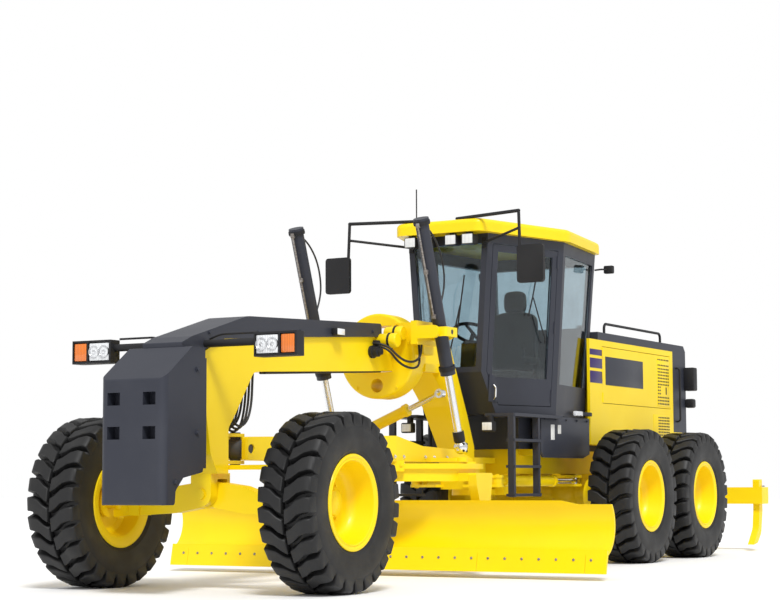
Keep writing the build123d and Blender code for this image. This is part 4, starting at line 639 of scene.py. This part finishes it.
def saddle_fittings():
    """Lock cylinders, their clamps, the pin motor and the hose bulkhead on the beam's left side."""
    bodies = []
    clamps = []
    for x, z, reach in ((-2.24, 1.990, 0.34), (-2.38, 2.060, 0.32)):
        rows = [(0, 0), (0, 0.058), (0.010, 0.062),
                (reach - 0.166, 0.062), (reach - 0.152, 0.054), (reach - 0.150, 0)]
        bodies.append(turned(rows, at(x, 0.15, z), (0, 1, 0), 32))
        ring = [(0, 0.061), (0, 0.068), (0.018, 0.068), (0.018, 0.061), (0, 0.061)]
        clamps.append(turned(ring, at(x, reach - 0.08, z), (0, 1, 0), 32))
    keep(joined(bodies), "saddle_lock_cylinders", YELLOW, "front_frame")
    motor = turned([(0, 0), (0, 0.052), (0.03, 0.055), (0.034, 0.044), (0.075, 0.044), (0.08, 0.030),
                    (0.105, 0.028), (0.11, 0)], at(-2.11, 0.15, 1.89), (0, 1, 0), 28)
    clamps.append(motor)
    clamps.append(block_at((-2.20, 0.15, 1.93), (-2.14, 0.20, 1.99)))
    keep(joined(clamps), "saddle_motor_and_clamps", BLACK, "front_frame")
    nuts = []
    for number in range(10):
        turn = math.tau * (number + 0.5) / 10
        y = SADDLE_BOLTS_R * math.cos(turn)
        if abs(y) > 0.17:
            nuts.append(at(-2.470, y, 1.88 + SADDLE_BOLTS_R * math.sin(turn)))
    bolts("saddle_ring_bolts", nuts, (1, 0, 0), 0.012, "front_frame", YELLOW)
    for name, points in SADDLE_HOSES.items():
        hose(name, points, 0.010, "front_frame")


def leg_hoses():
    """Bundle of steering hoses that hangs behind the front leg, on its clamp."""
    clamp = block_at((-0.140, -0.090, 1.385), (-0.098, 0.090, 1.430), 0.006)
    keep(clamp, "leg_hose_clamp", BLACK, "front_frame")
    for number in range(6):
        y = 0.075 - number * 0.030
        drop = 0.02 * (number % 3)
        points = [
            (-0.122, y, 1.385), (-0.124, y, 1.33 - drop), (-0.15, y + 0.004, 1.25 - drop),
            (-0.24, y + 0.006, 1.21 - drop), (-0.35, y + 0.003, 1.26 - drop),
            (-0.41, y, 1.40), (-0.42, y, 1.60), (-0.425, y, 1.648),
        ]
        hose(f"leg_hose_{number}", points, 0.0095, "front_frame")


def beam_pipes():
    """Two steel pipes under the beam."""
    pipes = []
    for y in (0.06, 0.10):
        pipes.append(tube([at(-0.55, y, 1.640), at(-1.2, y, 1.676), at(-2.35, y, 1.740)], 0.011, 0.05))
    keep(joined(pipes), "beam_pipes", BLACK, "front_frame")


# Blade gear

# The lift cylinders' centre lines: their place across, and the way back and down along each metre
LIFT_Y = 0.62
LIFT_BACK = 0.344
LIFT_DOWN = 0.939


def lift_point(distance, off, side):
    """A place beside the lift cylinder's centre line, at a distance from its top."""
    x = -2.140 - LIFT_BACK * distance + LIFT_DOWN * off
    z = 3.0 - LIFT_DOWN * distance - LIFT_BACK * off
    return at(x, LIFT_Y * side, z)


def lift_cylinder_fittings():
    """Each lift cylinder's pipe with its three blocks, its hose, rings, rod sleeve and cap bolts."""
    block = (0.014, 0.016, 0.020)
    for name, side in SIDES.items():
        barrel = f"lift_cylinder_{name}"
        rod = f"lift_rod_{name}"
        bends = ((0.05, 0.0565), (0.05, 0.078), (0.84, 0.078), (0.84, 0.0565))
        pipe = tube([lift_point(distance, off, side) for distance, off in bends], 0.0085, 0.018, 3)
        for distance in (0.05, 0.45, 0.84):
            place = lift_point(distance, 0.073, side)
            low = [value - size for value, size in zip(place, block)]
            high = [value + size for value, size in zip(place, block)]
            pipe = joined([pipe, slab(low, high, 0.004)])
        keep(pipe, f"lift_pipe_{name}", STEEL, barrel)
        loop = [(0.10, -0.070), (0.16, -0.15), (0.36, -0.25), (0.58, -0.24), (0.72, -0.15), (0.78, -0.072)]
        places = [lift_point(distance, off, side) for distance, off in loop]
        hose(f"lift_hose_{name}", [(x - AXLE_X, y, z) for x, y, z in places], 0.008, barrel)
        line = (-LIFT_BACK, 0, -LIFT_DOWN)
        ring = [(0, 0.064), (0, 0.071), (0.018, 0.073), (0.036, 0.071), (0.036, 0.064), (0, 0.064)]
        rings = [turned(ring, lift_point(distance, 0, side), line, 32) for distance in (0.02, 1.30)]
        keep(joined(rings), f"lift_rings_{name}", BLACK, barrel)
        sleeve = [(0, 0.033), (0, 0.047), (0.012, 0.050), (0.085, 0.050),
                  (0.098, 0.046), (0.098, 0.033), (0, 0.033)]
        boot = turned(sleeve, lift_point(1.885, 0, side), line, 32)
        keep(boot, f"lift_rod_sleeve_{name}", BLACK, rod)
        places = []
        for turn in (0.8, 2.4, 4.0, 5.5):
            x = -2.84 + 0.040 * math.cos(turn)
            z = 1.09 + 0.040 * math.sin(turn)
            places.append(at(x, side * LIFT_Y + side * 0.040, z))
        bolts(f"lift_cap_bolts_{name}", places, (0, side, 0), 0.009, rod, BLACK)


CIRCLE_X = -2.80
SHOE_R = 0.801
MOTOR_BOLTS = 8
EDGE_BOLTS = 27
EDGE_BOLTS_SPAN = 4.0


def drawbar_bolts():
    """Bolts along the side plates' lower edge, on the shoes and on the circle motor."""
    for name, side in SIDES.items():
        places = [at(x, side * 0.401, 1.006) for x in (-2.07, -2.22, -2.60, -2.76, -3.00)]
        bolts(f"drawbar_bolts_{name}", places, (0, side, 0), 0.011, "drawbar", CHROME)
    for number, angle in enumerate((30, 150, 210, 330)):
        turn = math.radians(angle)
        out = (math.cos(turn), math.sin(turn), 0)
        places = []
        for across in (-0.035, 0.035):
            x = CIRCLE_X + SHOE_R * out[0] - across * out[1]
            y = SHOE_R * out[1] + across * out[0]
            places.append(at(x, y, 0.935))
        bolts(f"shoe_bolts_{number}", places, out, 0.011, "drawbar", YELLOW)
    places = []
    for number in range(MOTOR_BOLTS):
        turn = math.tau * number / MOTOR_BOLTS
        places.append(at(-2.30 + 0.088 * math.cos(turn), 0.088 * math.sin(turn), 1.181))
    bolts("circle_motor_bolts", places, (0, 0, 1), 0.009, "drawbar", YELLOW)


def blade_bolts():
    """Countersunk bolts through the cutting edge, with their nuts behind."""
    heads = []
    nuts = []
    for number in range(EDGE_BOLTS):
        y = -EDGE_BOLTS_SPAN / 2 + number * EDGE_BOLTS_SPAN / (EDGE_BOLTS - 1)
        heads.append(at(-2.4255, y, 0.165))
        nuts.append(at(-2.487, y, 0.222))
    rows = [(0, 0), (0, 0.012), (0.002, 0.011), (0.004, 0.006), (0.004, 0)]
    head = turned(rows, (0, 0, 0), (0.98, 0, 0.2), 14)
    pieces = [copied(head, Matrix.Translation(place)) for place in heads]
    bpy.data.objects.remove(head)
    keep(joined(pieces), "edge_bolts", STEEL, "moldboard")
    bolts("edge_nuts", nuts, (-1, 0, -0.1), 0.012, "moldboard", STEEL)


# Cab

# The way out from a cab door's plane: forward and sideways in each metre
DOOR_AHEAD = 0.3077
DOOR_ASIDE = 0.9515
CAB_SILL_Z = 1.42
CAB_TALL = 1.66


def cab_point(share, z, out, side):
    """A place on a door's plane: share of the way from the front pillar back, and out from it."""
    rise = (z - CAB_SILL_Z) / CAB_TALL
    front_y = 0.31 + 0.11 * rise
    x = -3.81 - 0.99 * share + DOOR_AHEAD * out
    return at(x, side * (front_y + 0.32 * share + DOOR_ASIDE * out), z)


def door_hardware():
    """Handle plate with its lever, and a wiper, on each cab door."""
    for name, side in SIDES.items():
        body = f"cab_door_{name}"
        outline = [(0.10, 1.53), (0.10, 1.78), (0.155, 1.78), (0.215, 1.66), (0.215, 1.53)]
        points = [cab_point(share, z, 0.0, side) for share, z in outline]
        thick = [DOOR_AHEAD * 0.010, side * DOOR_ASIDE * 0.010, 0]
        keep(plate(points, thick, 0.002), f"door_handle_plate_{name}", DARK, body)
        bends = ((0.165, 1.555, 0.010), (0.165, 1.565, 0.032), (0.160, 1.66, 0.036), (0.155, 1.685, 0.012))
        lever = tube([cab_point(share, z, out, side) for share, z, out in bends], 0.009, 0.012)
        keep(lever, f"door_handle_{name}", CHROME, body)
        arm = tube([cab_point(0.80, 2.10, 0.004, side), cab_point(0.78, 2.13, 0.026, side),
                    cab_point(0.60, 2.52, 0.024, side)], 0.006, 0.02)
        blade = tube([cab_point(0.56, 2.34, 0.010, side), cab_point(0.60, 2.52, 0.014, side),
                      cab_point(0.64, 2.72, 0.010, side)], 0.007, 0.02)
        keep(joined([arm, blade]), f"door_wiper_{name}", BLACK, body)


def front_wiper():
    """Long wiper on the front window, with its motor cover."""
    arm = tube([at(-3.800, 0.0, 1.875), at(-3.776, 0.01, 1.90), at(-3.776, 0.14, 2.42)], 0.007, 0.02)
    blade = tube([at(-3.790, 0.10, 2.16), at(-3.786, 0.14, 2.42), at(-3.790, 0.18, 2.70)], 0.007, 0.02)
    cover = block_at((-3.808, -0.05, 1.83), (-3.778, 0.05, 1.875), 0.012)
    keep(joined([arm, blade, cover]), "front_wiper", BLACK, "rear_frame")


def cab_lamps():
    """Lenses of the roof lamps, the lamps under the cab and on its rear corners, and the side markers."""
    faces = [block_at((-3.622, y - 0.052, 2.972), (-3.6165, y + 0.052, 3.058), 0.004)
             for y in (-0.30, -0.125, 0.125, 0.30)]
    keep(joined(faces), "roof_lamp_lenses", LAMP_CLEAR, "rear_frame")
    for name, side in SIDES.items():
        shell = side_block((-3.83, 0.36, 1.25), (-3.75, 0.48, 1.345), 0.014, side)
        bracket = side_block((-3.86, 0.40, 1.33), (-3.80, 0.44, 1.40), 0.006, side)
        keep(joined([shell, bracket]), f"step_lamp_{name}", BLACK, "rear_frame")
        face = side_block((-3.756, 0.372, 1.262), (-3.744, 0.468, 1.333), 0.006, side)
        keep(face, f"step_lamp_lens_{name}", LAMP_CLEAR, "rear_frame")
        stalk = tube([at(-5.86, 0.60, 2.92), at(-5.90, 0.66, 2.93), at(-5.96, 0.70, 2.93)], 0.009, 0.02)
        stalk = on_side(stalk, side)
        pod = side_block((-6.00, 0.66, 2.89), (-5.94, 0.76, 2.97), 0.012, side)
        keep(joined([stalk, pod]), f"rear_corner_lamp_{name}", BLACK, "rear_frame")
        marker = side_block((-5.66, 0.602, 1.435), (-5.30, 0.640, 1.475), 0.010, side)
        keep(marker, f"side_marker_{name}", BLACK, "rear_frame")
        pane = side_block((-5.42, 0.606, 1.431), (-5.26, 0.645, 1.479), 0.008, side)
        keep(pane, f"side_marker_lens_{name}", LAMP_CLEAR, "rear_frame")


def cab_skirt():
    """Dark side panels under the cab, the sill strip with its bolts and two blank white plates."""
    for name, side in SIDES.items():
        outline = [(-4.52, 1.08), (-4.52, 1.415), (-5.66, 1.415),
                   (-5.66, 1.06), (-5.50, 1.02), (-4.60, 1.02)]
        panel = plate([at(x, side * 0.605, z) for x, z in outline], (0, -side * 0.035, 0), 0.004)
        stay = block_at((-5.20, -0.58, 1.10), (-5.12, 0.58, 1.16), 0.004)
        keep(joined([panel, stay]), f"cab_skirt_{name}", DARK, "rear_frame")
        cards = [side_block((x - width, 0.6045, low), (x, 0.6065, 1.335), 0.001, side)
                 for x, width, low in ((-4.74, 0.085, 1.19), (-4.90, 0.075, 1.25))]
        keep(joined(cards), f"blank_plates_{name}", PLATE_WHITE, "rear_frame")
        places = [at(x, side * 0.606, 1.385) for x in (-4.60, -4.85, -5.10, -5.35, -5.60)]
        bolts(f"skirt_bolts_{name}", places, (0, side, 0), 0.009, "rear_frame", DARK)


def mirror_faces():
    """Mirror glass on the rear of each mirror."""
    for name, side in SIDES.items():
        face = side_block((-3.5155, 0.885, 2.575), (-3.509, 1.115, 2.885), 0.003, side)
        keep(face, f"mirror_glass_{name}", MIRROR_FACE, "rear_frame")


def cushion(low, high, cuts, sink, name):
    """A padded form with a crowned top and sides that pull in between its corners."""
    select_only()
    middle = [(a + b) / 2 for a, b in zip(low, high)]
    size = [b - a for a, b in zip(low, high)]
    bpy.ops.mesh.primitive_cube_add(size=1, location=at(*middle), scale=size)
    pad = settle(bpy.context.object)
    edit(pad, "FACE", True)
    bpy.ops.mesh.subdivide(number_cuts=cuts)
    pick(pad, lambda centre, normal: abs(normal.y) > 0.9)
    bpy.ops.transform.resize(value=(sink, 1, sink))
    select_only(pad)
    modify(pad, "SUBSURF", levels=2, render_levels=2)
    keep(pad, name, MATERIALS["seat_fabric"], "rear_frame", 60)
    return pad


def seat():
    """Driver's seat: suspension box, cushion, backrest, head rest and the consoles beside it."""
    base = block_at((-5.17, -0.18, 1.482), (-4.83, 0.18, 1.70), 0.03)
    rail = block_at((-5.20, -0.22, 1.70), (-4.80, 0.22, 1.735), 0.01)
    spine = tube([at(-5.24, 0, 1.74), at(-5.275, 0, 2.10), at(-5.27, 0, 2.52)], 0.022, 0.10)
    keep(joined([base, rail, spine]), "seat_base", BLACK, "rear_frame")
    bottom = cushion((-5.23, -0.25, 1.735), (-4.74, 0.25, 1.875), 3, 0.86, "seat_cushion")
    cushion((-5.29, -0.24, 1.85), (-5.16, 0.24, 2.47), 3, 0.88, "seat_back")
    cushion((-5.30, -0.115, 2.455), (-5.19, 0.115, 2.685), 1, 0.95, "seat_head_rest")
    for name, side in SIDES.items():
        pod = side_block((-5.12, 0.27, 1.93), (-4.76, 0.34, 2.00), 0.025, side)
        post = side_block((-5.10, 0.285, 1.70), (-5.03, 0.33, 1.95), 0.012, side)
        stick = on_side(tube([at(-4.79, 0.305, 1.99), at(-4.785, 0.305, 2.07)], 0.011), side)
        ball = on_side(turned([(0, 0), (0.006, 0.017), (0.022, 0.021), (0.037, 0.015), (0.042, 0)],
                              at(-4.785, 0.305, 2.065), (0, 0, 1), 20), side)
        keep(joined([pod, post, stick, ball]), f"arm_console_{name}", BLACK, "rear_frame")
    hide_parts("operator_seat")


# Hood

VENT_ROW = 0.028
VENT_COLUMN = 0.0485
VENT_FRONT_X = -7.562
VENT_FACE_Y = 0.6015


def hood_trim():
    """Dark blank panel and stripes, vent panels with painted shade for their openings, and latches on both
    sides.
    """
    for name, side in SIDES.items():
        door = f"hood_door_{name}"
        panel = side_block((-7.12, 0.5995, 1.77), (-6.10, 0.6025, 2.06), 0.002, side)
        keep(panel, f"blank_side_panel_{name}", DARK, door)
        bands = [side_block((-6.015, 0.5995, low), (-5.705, 0.6025, high), 0.001, side)
                 for low, high in ((2.06, 2.12), (1.93, 2.03), (1.78, 1.90))]
        keep(joined(bands), f"hood_stripes_{name}", STRIPE_BLUE, "rear_frame")
        latch = side_block((-7.80, 0.589, 1.735), (-7.775, 0.6065, 1.815), 0.005, side)
        keep(latch, f"hood_latch_{name}", BLACK, door)
        sheet = side_block((-7.89, 0.5985, 1.60), (-7.53, 0.6022, 2.13), 0.002, side)
        keep(sheet, f"vent_sheet_{name}", YELLOW, door)
        lower = side_block((-7.885, 0.5985, 1.23), (-7.40, 0.6022, 1.51), 0.002, side)
        keep(lower, f"low_vent_sheet_{name}", YELLOW, "rear_frame")
        groups = ((2.05, 2.11, 7), (1.84, 2.01, 7), (1.74, 1.81, 2), (1.63, 1.70, 7))
        vent_shade(f"vents_{name}", side, door, groups)
        vent_shade(f"low_vents_{name}", side, "rear_frame", ((1.26, 1.48, 7),))


def vent_shade(name, side, body, groups):
    """Rows of small black slabs in groups up the sheet: painted shade standing for the openings."""
    # Each black slab is painted shade where the sheet has an opening; the sheet itself is not pierced.
    hole_shade = slab((-0.0165, 0, -0.008), (0.0165, 0.002, 0.008), 0.003)
    hole_shades = []
    # Groups: lowest row, highest row, columns
    for low, high, columns in groups:
        rows = max(2, round((high - low) / VENT_ROW))
        for row in range(rows):
            for column in range(columns):
                x = VENT_FRONT_X - VENT_COLUMN * column
                z = low + (high - low) * row / (rows - 1)
                place = Matrix.Translation(at(x, side * VENT_FACE_Y, z)) @ Matrix.Scale(side, 4, (0, 1, 0))
                hole_shades.append(copied(hole_shade, place))
    bpy.data.objects.remove(hole_shade)
    keep(joined(hole_shades), name, BLACK, body)


def hood_top():
    """Hand rails, the service lid and the exhaust stack on the hood."""
    for name, side in SIDES.items():
        y = side * 0.52
        bends = ((-6.27, 2.298), (-6.27, 2.41), (-7.84, 2.41), (-7.84, 2.298))
        rail = tube([at(x, y, z) for x, z in bends], 0.014, 0.05)
        foot = [(0, 0), (0, 0.034), (0.010, 0.032), (0.012, 0)]
        feet = [turned(foot, at(x, y, 2.299), (0, 0, 1), 20) for x in (-6.27, -7.84)]
        keep(joined([rail] + feet), f"hood_rail_{name}", BLACK, "rear_frame")
    lid = block_at((-7.05, -0.30, 2.299), (-6.35, 0.30, 2.335), 0.012)
    rows = [(0, 0), (0, 0.075), (0.01, 0.085), (0.03, 0.085), (0.05, 0.055), (0.20, 0.052),
            (0.21, 0.044), (0.05, 0.044), (0.05, 0)]
    stack = turned(rows, at(-7.45, -0.25, 2.299), (0, 0, 1), 32)
    keep(joined([lid, stack]), "hood_lid_and_stack", BLACK, "rear_frame")


def rear_lamps():
    """Lamp boxes, lenses and hand rails on the rear corners."""
    for name, side in SIDES.items():
        box = side_block((-8.46, 0.598, 1.80), (-8.34, 0.72, 2.06), 0.014, side)
        pod = side_block((-8.46, 0.598, 1.61), (-8.36, 0.70, 1.71), 0.020, side)
        rail = on_side(tube([at(-8.10, 0.598, 2.04), at(-8.10, 0.645, 2.04), at(-8.10, 0.645, 1.45),
                             at(-8.10, 0.598, 1.45)], 0.011, 0.03), side)
        keep(joined([box, pod, rail]), f"rear_corner_{name}", BLACK, "rear_frame")
        red = side_block((-8.466, 0.612, 1.93), (-8.452, 0.708, 2.045), 0.005, side)
        keep(red, f"tail_lens_{name}", LAMP_RED, "rear_frame")
        amber = side_block((-8.466, 0.612, 1.815), (-8.452, 0.708, 1.915), 0.005, side)
        keep(amber, f"rear_turn_lens_{name}", LAMP_AMBER, "rear_frame")
        white = side_block((-8.466, 0.612, 1.622), (-8.452, 0.688, 1.698), 0.005, side)
        keep(white, f"reverse_lens_{name}", LAMP_CLEAR, "rear_frame")


TANDEM_FACE_Y = 0.7455
TANDEM_BOLTS = 8
TANDEM_BOLTS_R = 0.15
SHANK_PLACES = (-1.06, 0, 1.06)


def tandem_trim():
    """Cover bolts on the tandem cases: a ring round each wheel's bearing and two rows between."""
    for name, side in SIDES.items():
        places = []
        face_y = side * TANDEM_FACE_Y
        for centre in (TANDEM_X + TANDEM_REACH, TANDEM_X - TANDEM_REACH):
            for number in range(TANDEM_BOLTS):
                turn = math.tau * number / TANDEM_BOLTS
                z = TYRE_R + TANDEM_BOLTS_R * math.sin(turn)
                places.append((centre + TANDEM_BOLTS_R * math.cos(turn), face_y, z))
        for x in (-2.55, TANDEM_X, -1.88):
            places.append((x, face_y, 0.80))
            places.append((x, face_y, 0.50))
        bolts(f"tandem_bolts_{name}", places, (0, side, 0), 0.011, "rear_frame", YELLOW)


def ripper_trim():
    """Retaining pins and washers on the ripper's pockets."""
    places = [at(-9.4975, y + across, 0.725) for across in (0.055, -0.055) for y in SHANK_PLACES]
    bolts("ripper_pins", places, (0, 0, 1), 0.013, "ripper_frame", STEEL)


headlights()
cover_bolts()
beam_lamp()
saddle_fittings()
leg_hoses()
beam_pipes()
lift_cylinder_fittings()
drawbar_bolts()
blade_bolts()
door_hardware()
front_wiper()
cab_lamps()
cab_skirt()
mirror_faces()
seat()
hood_trim()
hood_top()
rear_lamps()
tandem_trim()
ripper_trim()


# Floor, light and camera

def floor():
    """A large, flat pale floor."""
    bpy.ops.mesh.primitive_plane_add(size=120, location=(0, 0, 0))
    plane = bpy.context.object
    plane.name = "floor"
    material, _, _, shader = new_material("pale floor")
    shader.inputs["Base Color"].default_value = (0.93, 0.93, 0.93, 1)
    shader.inputs["Roughness"].default_value = 0.9
    plane.data.materials.append(material)


WHITE = (1, 1, 1, 1)
SKY_STRENGTH = 0.74
SUN_STRENGTH = 2.4
SUN_SPREAD_DEG = 14
SUN_LINE = (-0.50, -0.42, -0.76)


def lamps():
    """Soft sky light and one broad lamp from the front left, before a white surround."""
    world = bpy.data.worlds.new("studio")
    world.use_nodes = True
    bpy.context.scene.world = world
    nodes = world.node_tree.nodes
    links = world.node_tree.links
    sky = nodes["Background"]
    sky.inputs["Color"].default_value = WHITE
    sky.inputs["Strength"].default_value = SKY_STRENGTH
    white = nodes.new("ShaderNodeBackground")
    white.inputs["Color"].default_value = WHITE
    white.inputs["Strength"].default_value = 1
    rays = nodes.new("ShaderNodeLightPath")
    seen = nodes.new("ShaderNodeMath")
    seen.operation = "MAXIMUM"
    links.new(rays.outputs["Is Camera Ray"], seen.inputs[0])
    links.new(rays.outputs["Is Transmission Ray"], seen.inputs[1])
    choice = nodes.new("ShaderNodeMixShader")
    links.new(seen.outputs["Value"], choice.inputs["Fac"])
    links.new(sky.outputs["Background"], choice.inputs[1])
    links.new(white.outputs["Background"], choice.inputs[2])
    links.new(choice.outputs["Shader"], nodes["World Output"].inputs["Surface"])
    sun = bpy.data.lights.new("soft sun", "SUN")
    sun.energy = SUN_STRENGTH
    sun.angle = math.radians(SUN_SPREAD_DEG)
    lamp = bpy.data.objects.new("soft sun", sun)
    lamp.rotation_euler = Vector(SUN_LINE).to_track_quat("-Z", "Y").to_euler()
    bpy.context.scene.collection.objects.link(lamp)


CAMERA_PLACE = (15.8615, 8.0541, 0.795)
CAMERA_YAW = 0.5133
CAMERA_PITCH = 0.0968
CAMERA_ROLL = -0.0038
FOCAL_PIXELS = 1874.9
FRAME_WIDTH = 780
SENSOR = 36


def camera():
    """The photograph's own viewpoint, low and ahead of the left front wheel."""
    data = bpy.data.cameras.new("photo view")
    data.sensor_width = SENSOR
    data.lens = FOCAL_PIXELS * SENSOR / FRAME_WIDTH
    data.clip_end = 300
    eye = bpy.data.objects.new("photo view", data)
    forward = Vector((
        -math.cos(CAMERA_YAW) * math.cos(CAMERA_PITCH),
        -math.sin(CAMERA_YAW) * math.cos(CAMERA_PITCH),
        math.sin(CAMERA_PITCH),
    ))
    look = forward.to_track_quat("-Z", "Y").to_matrix()
    look = look @ Matrix.Rotation(CAMERA_ROLL, 3, "Z")
    eye.matrix_world = Matrix.Translation(CAMERA_PLACE) @ look.to_4x4()
    bpy.context.scene.collection.objects.link(eye)
    bpy.context.scene.camera = eye


floor()
lamps()
camera()
bpy.context.scene.view_settings.view_transform = "Standard"
